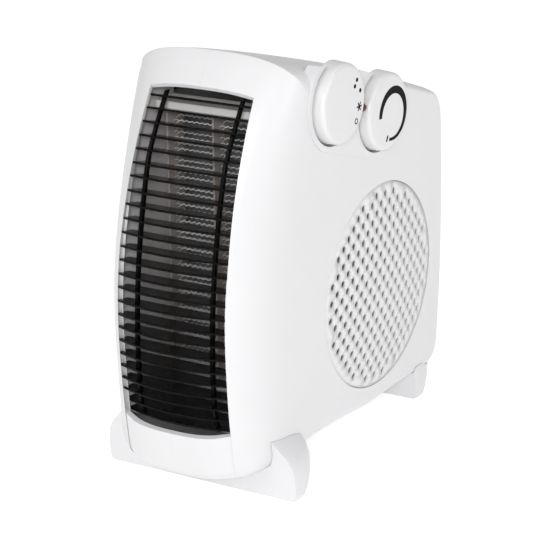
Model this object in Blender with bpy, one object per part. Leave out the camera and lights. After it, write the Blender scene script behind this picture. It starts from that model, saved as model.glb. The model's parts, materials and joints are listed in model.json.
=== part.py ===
"""Fan convector heater: an upright blower heater with a slatted outlet and a perforated side intake.

Lengths are in millimetres and angles in degrees until they reach a mesh, which is in metres.
+Z is up, the outlet faces -Y and the intake and the two knobs face +X. The origin is on the
ground, under the middle of the heater.
"""

import math

import bmesh
import bpy
from mathutils import Matrix, Vector

MM = 0.001
GAP = 0.3

# Casing, seen from its side: four bowed edges joined by round corners.
NOSE_Y = -105.6
NOSE_Z = 94.9
NOSE_RADIUS_ABOVE = 170.6
NOSE_RADIUS_BELOW = 331.0
FRONT_LOW_Z = 19.3
FRONT_HIGH_Z = 222.2
TOP_EDGE = ((-53.6, 227.8), (19.5, 211.1), (92.6, 183.1))
REAR_EDGE = ((102.8, 166.4), (108.2, 98.0), (104.3, 27.1))
BOTTOM_EDGE = ((88.3, 13.3), (4.3, 10.2), (-79.7, 10.2))
WALL = 2.5

# The flat sides spread apart towards the rear.
SIDE_AT_ORIGIN = 51.1
SIDE_FLARE = 3.8
# The closed side swells out a little round its middle.
SIDE_SWELL = 1.2
# How far in from the outline the side is still curving, by direction.
ROUND_FRONT = 50.0
ROUND_TOP = 7.6
ROUND_REAR = 3.6
ROUND_BOTTOM = 10.0
ROUND_TOP_FRONT = 12.4
ROUND_POWER = 2.8

# Intake, on the +X side.
INTAKE_Y = 31.7
INTAKE_Z = 84.8
INTAKE_RADIUS = 57.2
INTAKE_TILT = -5.8
INTAKE_PITCH = 9.3
INTAKE_HOLE_RADIUS = 2.0
INTAKE_FIELD_RADIUS = 52.5
INTAKE_DOME = 3.2
GRILLE_THICKNESS = 2.0

# Outlet, on the front.
OUTLET_HALF_WIDTH = 33.6
OUTLET_NARROWING = 0.024
OUTLET_LOW_Z = 39.0
OUTLET_HIGH_Z = 212.0
SLAT_COUNT = 25
SLAT_LOW_Z = 43.0
SLAT_HIGH_Z = 205.0
SLAT_THICKNESS = 1.1
SLAT_RECESS_TOP = 3.0
SLAT_RECESS_BOTTOM = 5.0
SLAT_DEPTH = 17.0
SLAT_REAR_LIMIT_Y = -54.5
SLAT_TILT_LOW = 8.0
SLAT_TILT_HIGH = 16.0
RIB_X = 21.9
RIB_THICKNESS = 1.6
RIB_FRONT_Y = -96.2
RIB_FRONT_Z = 80.0
RIB_RADIUS = 300.0
RIB_DEPTH = 3.0

# Controls.
KNOB_RADIUS = 20.8
KNOB_PROUD = 6.6
KNOB_SUNK = 3.6
SWITCH_Y = -17.5
SWITCH_Z = 198.3
THERMOSTAT_Y = 28.1
THERMOSTAT_Z = 183.7
POD_RADIUS = 25.5
POD_PROUD = 0.8
RECESS_RADIUS = 22.4
RECESS_DEPTH = 4.2
SHAFT_RADIUS = 3.0
LENS_RADIUS = 2.1

# Feet.
FOOT_HALF_LENGTH = 57.6
FRONT_FOOT_Y = -72.0
REAR_FOOT_Y = 75.4
FOOT_SCREW_SETBACK = 5.5

# Blower.
FAN_RADIUS = 50.0
FAN_INNER_RADIUS = 41.0
FAN_LEFT_X = -8.0
FAN_RIGHT_X = 36.0
FAN_BLADES = 24
MOTOR_SHAFT_RADIUS = 3.0
ROTOR_RADIUS = 13.0

BOSSES = ((-47.0, 213.0), (86.0, 160.0), (84.0, 32.0), (-42.0, 26.5))
BOSS_RADIUS = 4.6

COLOURS = {
    "white_plastic": ((0.86, 0.86, 0.87), 0.32, 0.0),
    "knob_plastic": ((0.9, 0.9, 0.9), 0.28, 0.0),
    "black_plastic": ((0.012, 0.012, 0.012), 0.2, 0.0),
    "steel": ((0.6, 0.6, 0.6), 0.35, 1.0),
    "aluminium": ((0.72, 0.72, 0.72), 0.3, 1.0),
    "mica": ((0.55, 0.5, 0.45), 0.6, 0.0),
    "ceramic": ((0.88, 0.87, 0.83), 0.5, 0.0),
    "heating_wire": ((0.5, 0.48, 0.46), 0.35, 1.0),
    "copper": ((0.7, 0.33, 0.16), 0.35, 1.0),
    "brass": ((0.75, 0.58, 0.25), 0.3, 1.0),
    "red_lens": ((0.5, 0.04, 0.03), 0.15, 0.0),
    "glass": ((0.8, 0.8, 0.8), 0.1, 0.0),
    "grey_plastic": ((0.3, 0.3, 0.31), 0.45, 0.0),
    "rubber": ((0.03, 0.03, 0.03), 0.7, 0.0),
    "insulation_red": ((0.5, 0.05, 0.04), 0.5, 0.0),
    "insulation_blue": ((0.05, 0.12, 0.45), 0.5, 0.0),
}


# ---------------------------------------------------------------- helpers


def clear_scene():
    for obj in list(bpy.data.objects):
        bpy.data.objects.remove(obj, do_unlink=True)


def material(name):
    made = bpy.data.materials.get(name)
    if made:
        return made
    colour, roughness, metallic = COLOURS[name]
    made = bpy.data.materials.new(name)
    made.use_nodes = True
    shader = made.node_tree.nodes["Principled BSDF"]
    shader.inputs["Base Color"].default_value = (*colour, 1.0)
    shader.inputs["Roughness"].default_value = roughness
    shader.inputs["Metallic"].default_value = metallic
    return made


def new_object(name, points, faces, slot, place=None):
    """A mesh object from points in millimetres, moved by place, a matrix in millimetres."""
    mesh = bpy.data.meshes.new(name)
    if place:
        points = [place @ Vector(point) for point in points]
    mesh.from_pydata([Vector(point) * MM for point in points], [], faces)
    cleaned = bmesh.new()
    cleaned.from_mesh(mesh)
    bmesh.ops.recalc_face_normals(cleaned, faces=cleaned.faces)
    cleaned.to_mesh(mesh)
    cleaned.free()
    if slot:
        mesh.materials.append(material(slot))
    obj = bpy.data.objects.new(name, mesh)
    bpy.context.collection.objects.link(obj)
    return obj


def soften(obj, angle=35):
    obj.data.shade_smooth()
    obj.data.set_sharp_from_angle(angle=math.radians(angle))
    return obj


def set_origin(obj, point, parent=None):
    """Puts the object's origin at a point in millimetres, leaving its mesh where it is."""
    where = Vector(point) * MM
    obj.data.transform(Matrix.Translation(-where))
    obj.location = where
    if parent:
        obj.parent = parent
        obj.matrix_parent_inverse = Matrix.Translation(-parent.location)
    return obj


def prism_data(outline, low, high, axis="X"):
    """Points and faces of a flat outline pushed along an axis. The outline is (Y, Z), (X, Z) or (X, Y)."""
    def lift(point, height):
        a, b = point
        return {"X": (height, a, b), "Y": (a, height, b), "Z": (a, b, height)}[axis]

    count = len(outline)
    points = [lift(point, low) for point in outline] + [lift(point, high) for point in outline]
    faces = [list(range(count)), list(range(2 * count - 1, count - 1, -1))]
    for i in range(count):
        j = (i + 1) % count
        faces.append([i, j, count + j, count + i])
    return points, faces


def prism(name, outline, low, high, slot, axis="X", place=None):
    points, faces = prism_data(outline, low, high, axis)
    return new_object(name, points, faces, slot, place)


def box(name, low, high, slot, place=None):
    outline = [(low[1], low[2]), (high[1], low[2]), (high[1], high[2]), (low[1], high[2])]
    return prism(name, outline, low[0], high[0], slot, "X", place)


def circle(radius, count, centre=(0.0, 0.0), turn=0.0):
    step = 2 * math.pi / count
    return [
        (centre[0] + radius * math.cos(turn + i * step), centre[1] + radius * math.sin(turn + i * step))
        for i in range(count)
    ]


def turned_data(profile, segments, closed):
    """A profile of (radius, height) turned about X. It starts and ends on the axis unless it is closed."""
    points, rings = [], []
    for radius, height in profile:
        if radius == 0:
            rings.append([len(points)])
            points.append((height, 0.0, 0.0))
            continue
        rings.append(list(range(len(points), len(points) + segments)))
        points += [(height, a, b) for a, b in circle(radius, segments)]
    pairs = list(zip(rings, rings[1:]))
    if closed:
        pairs.append((rings[-1], rings[0]))
    faces = []
    for near, far in pairs:
        for i in range(segments):
            j = (i + 1) % segments
            corners = [near[i % len(near)], near[j % len(near)], far[j % len(far)], far[i % len(far)]]
            faces.append(list(dict.fromkeys(corners)))
    return points, faces


def turned(name, profile, segments, slot, place=None, closed=False):
    points, faces = turned_data(profile, segments, closed)
    return soften(new_object(name, points, faces, slot, place))


def joined(name, pieces, slot, place=None):
    """One mesh of several separate closed shapes, each given as (points, faces)."""
    points, faces = [], []
    for more_points, more_faces in pieces:
        start = len(points)
        points += more_points
        faces += [[start + index for index in face] for face in more_faces]
    return new_object(name, points, faces, slot, place)


def boolean(obj, other, operation):
    """Cuts with or adds a helper object, which the heater itself doesn't include."""
    other.hide_render = True
    other.display_type = "WIRE"
    modifier = obj.modifiers.new(operation.title(), "BOOLEAN")
    modifier.operation = operation
    modifier.solver = "EXACT"
    modifier.object = other
    return obj


def shifted(piece, x=0.0, y=0.0, z=0.0):
    points, faces = piece
    return [(a + x, b + y, c + z) for a, b, c in points], faces


def placed(piece, place):
    points, faces = piece
    return [tuple(place @ Vector(point)) for point in points], faces


def tube(name, route, radius, slot, sides=3):
    """A bent wire along a smooth curve through the route's points."""
    curve = bpy.data.curves.new(name, "CURVE")
    curve.dimensions = "3D"
    curve.bevel_depth = radius * MM
    curve.bevel_resolution = sides
    curve.use_fill_caps = True
    spline = curve.splines.new("POLY")
    spline.points.add(len(route) - 1)
    for knot, point in zip(spline.points, route):
        knot.co = (*(Vector(point) * MM), 1.0)
    curve.materials.append(material(slot))
    obj = bpy.data.objects.new(name, curve)
    bpy.context.collection.objects.link(obj)
    return obj


def smooth_route(knots, steps):
    """Points along a Catmull-Rom curve through the knots."""
    ends = [2 * Vector(knots[0]) - Vector(knots[1])]
    ends += [Vector(knot) for knot in knots]
    ends.append(2 * Vector(knots[-1]) - Vector(knots[-2]))
    route = []
    for a, b, c, d in zip(ends, ends[1:], ends[2:], ends[3:]):
        for i in range(steps):
            t = i / steps
            route.append(
                0.5 * (2 * b + (c - a) * t + (2 * a - 5 * b + 4 * c - d) * t**2 + (3 * b - a - 3 * c + d) * t**3)
            )
    route.append(Vector(knots[-1]))
    return route


# ---------------------------------------------------------------- casing shape


def side_x(y):
    """Half the casing's width at y, on its flat side."""
    return SIDE_AT_ORIGIN + y * math.tan(math.radians(SIDE_FLARE))


def front_y(z):
    radius = NOSE_RADIUS_ABOVE if z > NOSE_Z else NOSE_RADIUS_BELOW
    return NOSE_Y + (z - NOSE_Z) ** 2 / (2 * radius)


def outlet_half(z):
    """Half the outlet's width at a height. It narrows a little towards the top."""
    return OUTLET_HALF_WIDTH - OUTLET_NARROWING * (min(max(z, OUTLET_LOW_Z), OUTLET_HIGH_Z) - OUTLET_LOW_Z)


def bend(a, m, b, t):
    """A point on the quadratic curve from a to b that is pulled towards m."""
    return tuple((1 - t) ** 2 * p + 2 * t * (1 - t) * q + t**2 * r for p, q, r in zip(a, m, b))


def meeting(a, b, c, d):
    """Where line a-b meets line c-d."""
    (ax, ay), (bx, by), (cx, cy), (dx, dy) = a, b, c, d
    bottom = (bx - ax) * (dy - cy) - (by - ay) * (dx - cx)
    t = ((cx - ax) * (dy - cy) - (cy - ay) * (dx - cx)) / bottom
    return ax + t * (bx - ax), ay + t * (by - ay)


def casing_outline(front_marks, along, round_corner):
    """The casing's (Y, Z) outline on the middle plane, counter-clockwise from the front's foot.

    front_marks are the heights at which the front edge has a point.
    """
    front = [(front_y(z), z) for z in sorted(front_marks, reverse=True)]
    edges = []
    for edge in (BOTTOM_EDGE, REAR_EDGE, TOP_EDGE):
        start, pull, end = reversed(edge)
        edges.append(([bend(start, pull, end, i / along) for i in range(along + 1)], pull, pull))
    high_slope = (FRONT_HIGH_Z - NOSE_Z) / NOSE_RADIUS_ABOVE
    low_slope = (FRONT_LOW_Z - NOSE_Z) / NOSE_RADIUS_BELOW
    near_high = (front[0][0] - 10 * high_slope, front[0][1] - 10)
    near_low = (front[-1][0] + 10 * low_slope, front[-1][1] + 10)
    edges.append((front, near_high, near_low))
    points = []
    for (edge, _, leaving), (following, entering, _) in zip(edges, edges[1:] + edges[:1]):
        points += edge
        corner = meeting(leaving, edge[-1], following[0], entering)
        points += [bend(edge[-1], corner, following[0], i / round_corner) for i in range(1, round_corner)]
    return points


def rounding(direction):
    """How far in from the outline the side curves, for a direction (Y, Z) out of the intake's centre."""
    y, z = direction
    front = max(-y, 0.0) ** 2
    rear = max(y, 0.0) ** 2
    top = max(z, 0.0) ** 2
    bottom = max(-z, 0.0) ** 2
    sides = front * ROUND_FRONT + rear * ROUND_REAR + top * ROUND_TOP + bottom * ROUND_BOTTOM
    return sides + 4 * front * top * ROUND_TOP_FRONT


def ring_at(outline, share, grow=0.0):
    """The casing's surface at a share of its half width, or at the outlet's edge if the share is None.

    grow moves the surface out by that much, or in if it's negative.
    """
    ring = []
    for y, z in outline:
        away = Vector((y - INTAKE_Y, z - INTAKE_Z))
        f = outlet_half(z) / side_x(y + 10) if share is None else share
        inset = rounding(away.normalized()) * (1 - (1 - f**ROUND_POWER) ** (1 / ROUND_POWER))
        away *= (away.length - inset + grow) / away.length
        py, pz = INTAKE_Y + away.x, INTAKE_Z + away.y
        ring.append((outlet_half(z) if share is None else f * (side_x(py) + grow), py, pz))
    return ring


def shell_rings(outline, shares, hole_radius, face_rings, grow=0.0):
    """Rings of points from the middle plane out to the side and in to a hole round the intake's centre."""
    rings = [ring_at(outline, share, grow) for share in shares]
    rim = rings[-1]
    for step in range(1, face_rings + 1):
        ring = []
        for _, y, z in rim:
            away = Vector((y - INTAKE_Y, z - INTAKE_Z))
            radius = away.length + (hole_radius - away.length) * step / face_rings
            away = away.normalized() * radius
            py = INTAKE_Y + away.x
            ring.append((side_x(py) + grow, py, INTAKE_Z + away.y))
        rings.append(ring)
    return rings


# Shares of the half width that get a ring. None is the ring along the outlet's edge.
SHARES = (0.0, 0.35, None, 0.8, 0.91, 0.97, 0.995, 1.0)
OPENING_RING = 2


def outlet_marks():
    """Heights of the front edge's points: the outlet's ends, and evenly between and beyond them."""
    marks = [FRONT_LOW_Z, (FRONT_LOW_Z + OUTLET_LOW_Z) / 2]
    steps = 12
    marks += [OUTLET_LOW_Z + (OUTLET_HIGH_Z - OUTLET_LOW_Z) * i / steps for i in range(steps + 1)]
    marks.append(FRONT_HIGH_Z)
    return marks


def half_shell(name, side, hole_radius):
    """One half of the casing as a wall, with the outlet's half left out. side is 1 for +X and -1 for -X.

    Without a hole_radius its side is closed, and swells out slightly.
    """
    outline = casing_outline(outlet_marks(), 7, 3)
    count = len(outline)
    points = []
    for grow in (0.0, -WALL):
        rings = shell_rings(outline, SHARES, hole_radius or 20.0, 2, grow)
        rings[0] = [(GAP / 2, y, z) for _, y, z in rings[0]]
        if not hole_radius:
            rings[-2] = [(x + SIDE_SWELL / 2, y, z) for x, y, z in rings[-2]]
            rings[-1] = [(x + SIDE_SWELL, y, z) for x, y, z in rings[-1]]
            rings.append([(side_x(INTAKE_Y) + SIDE_SWELL * 1.1 + grow, INTAKE_Y, INTAKE_Z)])
        points += [(side * x, y, z) for ring in rings for x, y, z in ring]
    inner = len(points) // 2
    faces = []
    levels = len(SHARES) + 2
    for level in reversed(range(levels - 1)):
        for i in range(count):
            j = (i + 1) % count
            low, high = sorted((outline[i][1], outline[j][1]))
            in_front = outline[i][0] < NOSE_Y + 45 and outline[j][0] < NOSE_Y + 45
            in_outlet = low >= OUTLET_LOW_Z - 0.01 and high <= OUTLET_HIGH_Z + 0.01
            if level < OPENING_RING and in_front and in_outlet:
                continue
            a, b = level * count, (level + 1) * count
            faces.append([a + i, a + j, b + j, b + i])
    if not hole_radius:
        rim, centre = (levels - 1) * count, levels * count
        faces += [[rim + i, rim + (i + 1) % count, centre] for i in range(count)]
    edges = {(face[i - 1], face[i]) for face in faces for i in range(len(face))}
    rims = [[b, a, inner + a, inner + b] for a, b in edges if (b, a) not in edges]
    faces += [[inner + index for index in reversed(face)] for face in faces]
    faces += sorted(rims)
    used = sorted({index for face in faces for index in face})
    renumber = {old: new for new, old in enumerate(used)}
    faces = [[renumber[index] for index in face] for face in faces]
    return new_object(name, [points[old] for old in used], faces, "white_plastic")


def body_envelope(name, grow):
    """A closed helper with the casing's outer shape, grown by a little. It isn't part of the heater."""
    outline = casing_outline(outlet_marks(), 7, 3)
    rings = shell_rings(outline, SHARES, 20.0, 1, grow)
    count = len(outline)
    points = [point for ring in rings for point in ring]
    points += [(-x, y, z) for ring in rings[1:] for x, y, z in ring]
    levels = len(rings)
    faces = []
    for level in range(levels - 1):
        for i in range(count):
            j = (i + 1) % count
            a, b = level * count, (level + 1) * count
            faces.append([a + i, a + j, b + j, b + i])
            c = (levels + level - 1) * count if level else 0
            d = (levels + level) * count
            faces.append([c + j, c + i, d + i, d + j])
    right, left = (levels - 1) * count, (2 * levels - 2) * count
    faces.append([right + i for i in range(count)])
    faces.append([left + i for i in range(count)][::-1])
    obj = new_object(name, points, faces, None)
    obj.hide_render = True
    return obj


def side_frame(y, z, out=0.0):
    """A matrix whose X points out of the +X side there, with its origin a distance out of the surface."""
    turn = Matrix.Rotation(math.radians(-SIDE_FLARE), 4, "Z")
    start = Vector((side_x(y), y, z)) + turn @ Vector((out, 0, 0))
    return Matrix.Translation(start) @ turn


# ---------------------------------------------------------------- casing parts


def pod_outline():
    """The control pod's (Y, Z) outline: a stadium round both knobs, kept inside the casing's outline."""
    centre = Vector((INTAKE_Y, INTAKE_Z))
    limits = []
    for y, z in casing_outline(outlet_marks(), 7, 3):
        away = Vector((y, z)) - centre
        limits.append((math.atan2(away.y, away.x), away.length))

    def reach(point):
        away = Vector(point) - centre
        angle = math.atan2(away.y, away.x)
        ordered = sorted(limits)
        for (first, near), (second, far) in zip(ordered, ordered[1:]):
            if first <= angle <= second:
                share = (angle - first) / (second - first)
                return near + (far - near) * share, away
        return ordered[0][1], away

    tilt = math.atan2(THERMOSTAT_Z - SWITCH_Z, THERMOSTAT_Y - SWITCH_Y)
    stadium = []
    for middle, start in (((THERMOSTAT_Y, THERMOSTAT_Z), tilt - math.pi / 2), ((SWITCH_Y, SWITCH_Z), tilt + math.pi / 2)):
        for i in range(11):
            angle = start + math.pi * i / 10
            stadium.append((middle[0] + POD_RADIUS * math.cos(angle), middle[1] + POD_RADIUS * math.sin(angle)))
    kept = []
    for point in stadium:
        limit, away = reach(point)
        share = min(1.0, (limit - 2.5) / away.length)
        kept.append(tuple(centre + away * share))
    return kept


def pod_data(low, high):
    """The pod as a prism between two heights over the sloping side."""
    outline = pod_outline()
    count = len(outline)
    points = [(side_x(y) + low, y, z) for y, z in outline] + [(side_x(y) + high, y, z) for y, z in outline]
    faces = [list(range(count)), list(range(2 * count - 1, count - 1, -1))]
    for i in range(count):
        j = (i + 1) % count
        faces.append([i, j, count + j, count + i])
    return points, faces


def cylinder_x(radius, low, high, centre, segments=20):
    return prism_data(circle(radius, segments, centre), low, high, "X")


def boss_data(side):
    """Screw bosses from the side wall to the middle plane."""
    ends = sorted((side * 65.0, side * GAP))
    return [cylinder_x(BOSS_RADIUS, *ends, centre, 12) for centre in BOSSES]


def bosses(name, side):
    """The screw bosses, ended inside the casing's wall."""
    obj = joined(name, boss_data(side), None)
    return boolean(obj, bpy.data.objects["boss_limit_cutter"], "INTERSECT")


def screw_hole_data(side):
    """Counterbored holes in the left half and blind pilot holes in the right half."""
    holes = []
    for y, z in BOSSES:
        if side < 0:
            profile = [(0, -60.0), (3.6, -60.0), (3.6, -12.0), (2.0, -12.0), (2.0, 1.0), (0, 1.0)]
            holes.append(shifted(turned_data(profile, 12, False), 0, y, z))
        else:
            holes.append(cylinder_x(2.0, -1.0, 16.0, (y, z), 12))
    return holes


def foot_screw_places():
    return [(x, y + FOOT_SCREW_SETBACK) for y in (FRONT_FOOT_Y, REAR_FOOT_Y) for x in (-30.0, 30.0)]


def right_casing():
    obj = half_shell("right_casing", 1, INTAKE_RADIUS - 0.7)
    boolean(obj, joined("pod_addition", [pod_data(-RECESS_DEPTH - WALL, POD_PROUD)], None), "UNION")
    boolean(obj, bosses("right_boss_addition", 1), "UNION")
    cuts = screw_hole_data(1)
    cuts.append(placed(cylinder_x(INTAKE_RADIUS + GAP, -9.0, 20.0, (0, 0), 64), side_frame(INTAKE_Y, INTAKE_Z)))
    for y, z in ((SWITCH_Y, SWITCH_Z), (THERMOSTAT_Y, THERMOSTAT_Z)):
        frame = side_frame(y, z)
        cuts.append(placed(cylinder_x(RECESS_RADIUS, -RECESS_DEPTH, 20.0, (0, 0), 32), frame))
        cuts.append(placed(cylinder_x(SHAFT_RADIUS + 1.0, -20.0, -RECESS_DEPTH, (0, 0), 16), frame))
    boolean(obj, joined("right_casing_cutter", cuts, None), "DIFFERENCE")
    middle = side_frame((SWITCH_Y + THERMOSTAT_Y) / 2, (SWITCH_Z + THERMOSTAT_Z) / 2)
    lens_hole = placed(cylinder_x(LENS_RADIUS + GAP, -20.0, 20.0, (0, 0), 12), middle)
    boolean(obj, joined("lens_hole_cutter", [lens_hole], None), "DIFFERENCE")
    boolean(obj, foot_screw_cutter("right_foot_screw_cutter", 1), "DIFFERENCE")
    return soften(obj)


def left_casing():
    obj = half_shell("left_casing", -1, None)
    boolean(obj, bosses("left_boss_addition", -1), "UNION")
    boolean(obj, joined("left_casing_cutter", screw_hole_data(-1), None), "DIFFERENCE")
    gland_hole = prism_data(circle(6.0 + GAP, 16, (GLAND_X, GLAND_Z)), 90.0, 120.0, "Y")
    boolean(obj, joined("gland_cutter", [gland_hole], None), "DIFFERENCE")
    boolean(obj, foot_screw_cutter("left_foot_screw_cutter", -1), "DIFFERENCE")
    return soften(obj)


def foot_screw_cutter(name, side=0):
    """Holes up through the casing's floor for the foot screws, on one side or on both."""
    holes = []
    for x, y in foot_screw_places():
        if side == 0 or x * side > 0:
            holes.append(shifted(prism_data(circle(2.2, 12), -1.0, 30.0, "Z"), x, y))
    return joined(name, holes, None)


GLAND_X = -22.0
GLAND_Z = 148.0


def cord_gland():
    """The strain relief's socket in the rear wall. Its bore is open from outside to inside."""
    profile = [(3.4, -7.0), (3.4, 0.6), (8.0, 0.6), (8.0, 0.0), (6.0, -0.2), (6.0, -7.0)]
    wall_y = 104.25
    turn = Matrix.Translation(Vector((GLAND_X, wall_y + GAP, GLAND_Z))) @ Matrix.Rotation(math.pi / 2, 4, "Z")
    return turned("cord_gland", profile, 16, "rubber", turn, closed=True)


def casing_screws():
    for number, (y, z) in enumerate(BOSSES, 1):
        profile = [(0, -14.6), (3.1, -14.2), (3.1, -12.4), (1.6, -12.4), (1.6, 13.0), (0, 14.5)]
        place = Matrix.Translation(Vector((0, y, z)))
        turned(f"casing_screw_{number}", profile, 12, "steel", place)


def lattice():
    """(Y, Z) of the intake's holes from its centre: staggered rows inside a circle, turned a little."""
    tilt = math.radians(INTAKE_TILT)
    half = INTAKE_PITCH / 2
    reach = int(INTAKE_FIELD_RADIUS / half) + 1
    for column in range(-reach, reach + 1):
        for row in range(-reach, reach + 1):
            u, v = column * half, row * half
            if (column + row) % 2 and math.hypot(u, v) < INTAKE_FIELD_RADIUS:
                yield u * math.cos(tilt) - v * math.sin(tilt), u * math.sin(tilt) + v * math.cos(tilt)


def intake_grille():
    """A domed disc with a staggered lattice of holes that fits the casing's opening."""
    disc = bmesh.new()
    edges = []
    loops = [circle(INTAKE_RADIUS, 48)]
    loops += [circle(INTAKE_HOLE_RADIUS, 4, centre, math.radians(INTAKE_TILT)) for centre in lattice()]
    for loop in loops:
        verts = [disc.verts.new((0, y * MM, z * MM)) for y, z in loop]
        edges += [disc.edges.new(pair) for pair in zip(verts, verts[1:] + verts[:1])]
    bmesh.ops.triangle_fill(disc, use_beauty=True, edges=edges)
    for vert in disc.verts:
        share = math.hypot(vert.co.y, vert.co.z) / (INTAKE_RADIUS * MM)
        vert.co.x = INTAKE_DOME * MM * (1 - share**2)
    bmesh.ops.recalc_face_normals(disc, faces=disc.faces)
    if sum(face.normal.x for face in disc.faces) < 0:
        bmesh.ops.reverse_faces(disc, faces=disc.faces)
    mesh = bpy.data.meshes.new("intake_grille")
    disc.to_mesh(mesh)
    disc.free()
    place = side_frame(INTAKE_Y, INTAKE_Z, -0.2)
    place.translation *= MM
    mesh.transform(place)
    mesh.materials.append(material("white_plastic"))
    obj = bpy.data.objects.new("intake_grille", mesh)
    bpy.context.collection.objects.link(obj)
    modifier = obj.modifiers.new("Thickness", "SOLIDIFY")
    modifier.thickness = GRILLE_THICKNESS * MM
    modifier.offset = -1.0
    modifier.use_rim = True


# ---------------------------------------------------------------- outlet grille


def slat_front_y(z):
    """Where the slats' foremost points are at a height: flush with the casing, and set back at both ends."""
    above = max(0.0, (z - 150.0) / (SLAT_HIGH_Z - 150.0)) ** 2
    below = max(0.0, (75.0 - z) / (75.0 - SLAT_LOW_Z)) ** 2
    return front_y(z) + SLAT_RECESS_TOP * above + SLAT_RECESS_BOTTOM * below


def slat_bow(z):
    """How far back the slats' ends are from their middles, which keeps them beside the outlet's edge."""
    _, edge_y, _ = ring_at([(front_y(z), z)], None)[0]
    return edge_y - front_y(z)


def slat_fronts():
    """(Y, Z) of each slat's foremost point, equally spaced along their curve."""
    steps = 400
    curve = [SLAT_LOW_Z + (SLAT_HIGH_Z - SLAT_LOW_Z) * i / steps for i in range(steps + 1)]
    lengths = [0.0]
    for low, high in zip(curve, curve[1:]):
        lengths.append(lengths[-1] + math.hypot(high - low, slat_front_y(high) - slat_front_y(low)))
    fronts = []
    for number in range(SLAT_COUNT):
        wanted = lengths[-1] * number / (SLAT_COUNT - 1)
        index = min(range(len(lengths)), key=lambda i: abs(lengths[i] - wanted))
        fronts.append((slat_front_y(curve[index]), curve[index]))
    return fronts


def slat_data(front, number):
    """A thin plate with an arched front edge, tipped up towards the front."""
    half = outlet_half(front[1]) - 0.5
    bow = slat_bow(front[1])
    depth = min(SLAT_DEPTH, SLAT_REAR_LIMIT_Y - front[0])
    outline = []
    for i in range(9):
        x = -half + 2 * half * i / 8
        outline.append((x, bow * (x / half) ** 2))
    outline += [(half, depth), (-half, depth)]
    piece = prism_data(outline, -SLAT_THICKNESS / 2, SLAT_THICKNESS / 2, "Z")
    tilt = SLAT_TILT_LOW + (SLAT_TILT_HIGH - SLAT_TILT_LOW) * number / (SLAT_COUNT - 1)
    place = Matrix.Translation(Vector((0, front[0], front[1]))) @ Matrix.Rotation(math.radians(-tilt), 4, "X")
    return placed(piece, place)


def rib_data(x):
    """An upright plate behind the slats' front edges."""
    heights = [SLAT_LOW_Z - 2.3 + (SLAT_HIGH_Z - SLAT_LOW_Z + 3.6) * i / 14 for i in range(15)]
    front = []
    for z in heights:
        behind = RIB_FRONT_Y + (z - RIB_FRONT_Z) ** 2 / (2 * RIB_RADIUS)
        front.append((max(behind, slat_front_y(z) + 4.6), z))
    outline = front + [(y + RIB_DEPTH, z) for y, z in reversed(front)]
    return prism_data(outline, x - RIB_THICKNESS / 2, x + RIB_THICKNESS / 2, "X")


def outlet_grille():
    slats = [slat_data(front, number) for number, front in enumerate(slat_fronts())]
    obj = joined("outlet_grille", [rib_data(-RIB_X), rib_data(RIB_X)], "black_plastic")
    return boolean(obj, joined("slat_addition", slats, None), "UNION")


# ---------------------------------------------------------------- feet


def foot(name, front, wide):
    """A bar with ends that rise beside the casing, cut to sit against it.

    front is its lower front edge's Y. A wide foot's ends stay outside the casing's wide rear.
    """
    # Height, how far the end is in from the half length on a narrow and a wide foot, front and rear.
    sections = [
        (0.0, 2.0, 1.6, 0.3, 10.0),
        (1.4, 0.5, 0.0, -0.2, 13.0),
        (5.0, 0.0, -0.3, -0.5, 15.5),
        (12.0, 0.0, -0.2, -1.0, 18.2),
        (20.0, 1.4, 0.6, -2.0, 20.4),
        (25.0, 4.1, 3.1, -3.0, 21.4),
        (29.0, 7.6, 6.6, -3.8, 21.9),
        (33.0, 11.6, 10.6, -4.5, 22.3),
        (40.0, 17.6, 16.6, -5.4, 22.8),
    ]
    points, faces = [], []
    sides = 8
    for z, narrow_inset, wide_inset, ahead, behind in sections:
        reach = FOOT_HALF_LENGTH - (wide_inset if wide else narrow_inset)
        for sign, steps in ((1, range(sides + 1)), (-1, range(sides, -1, -1))):
            for i in steps:
                share = i / sides
                pinch = 1.0 * (1 - share) ** 8 + 2.6 * share**5
                points.append((sign * (reach - pinch), front + ahead + (behind - ahead) * share, z))
    count = 2 * (sides + 1)
    for level in range(len(sections) - 1):
        for i in range(count):
            j = (i + 1) % count
            a, b = level * count, (level + 1) * count
            faces.append([a + i, a + j, b + j, b + i])
    faces.append(list(range(count))[::-1])
    last = (len(sections) - 1) * count
    faces.append([last + i for i in range(count)])
    obj = new_object(name, points, faces, "white_plastic")
    boolean(obj, bpy.data.objects["foot_fit_cutter"], "DIFFERENCE")
    heads = []
    for x, y in foot_screw_places():
        if abs(y - front) < 20:
            heads.append(shifted(prism_data(circle(4.2, 12), -1.0, 4.0, "Z"), x, y))
            heads.append(shifted(prism_data(circle(2.2, 12), 4.0, 30.0, "Z"), x, y))
    boolean(obj, joined(name + "_screw_cutter", heads, None), "DIFFERENCE")
    return soften(obj)


def foot_screws():
    upright = Matrix.Rotation(-math.pi / 2, 4, "Y")
    for number, (x, y) in enumerate(foot_screw_places(), 1):
        profile = [(0, 1.8), (3.8, 2.2), (3.8, 3.7), (1.8, 3.7), (1.8, 18.0), (0, 19.5)]
        place = Matrix.Translation(Vector((x, y, 0))) @ upright
        turned(f"foot_screw_{number}", profile, 12, "steel", place)


# ---------------------------------------------------------------- controls


def control_empty(name, y, z):
    empty = bpy.data.objects.new(name, None)
    empty.empty_display_size = 0.02
    bpy.context.collection.objects.link(empty)
    empty.location = side_frame(y, z).translation * MM
    return empty


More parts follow.
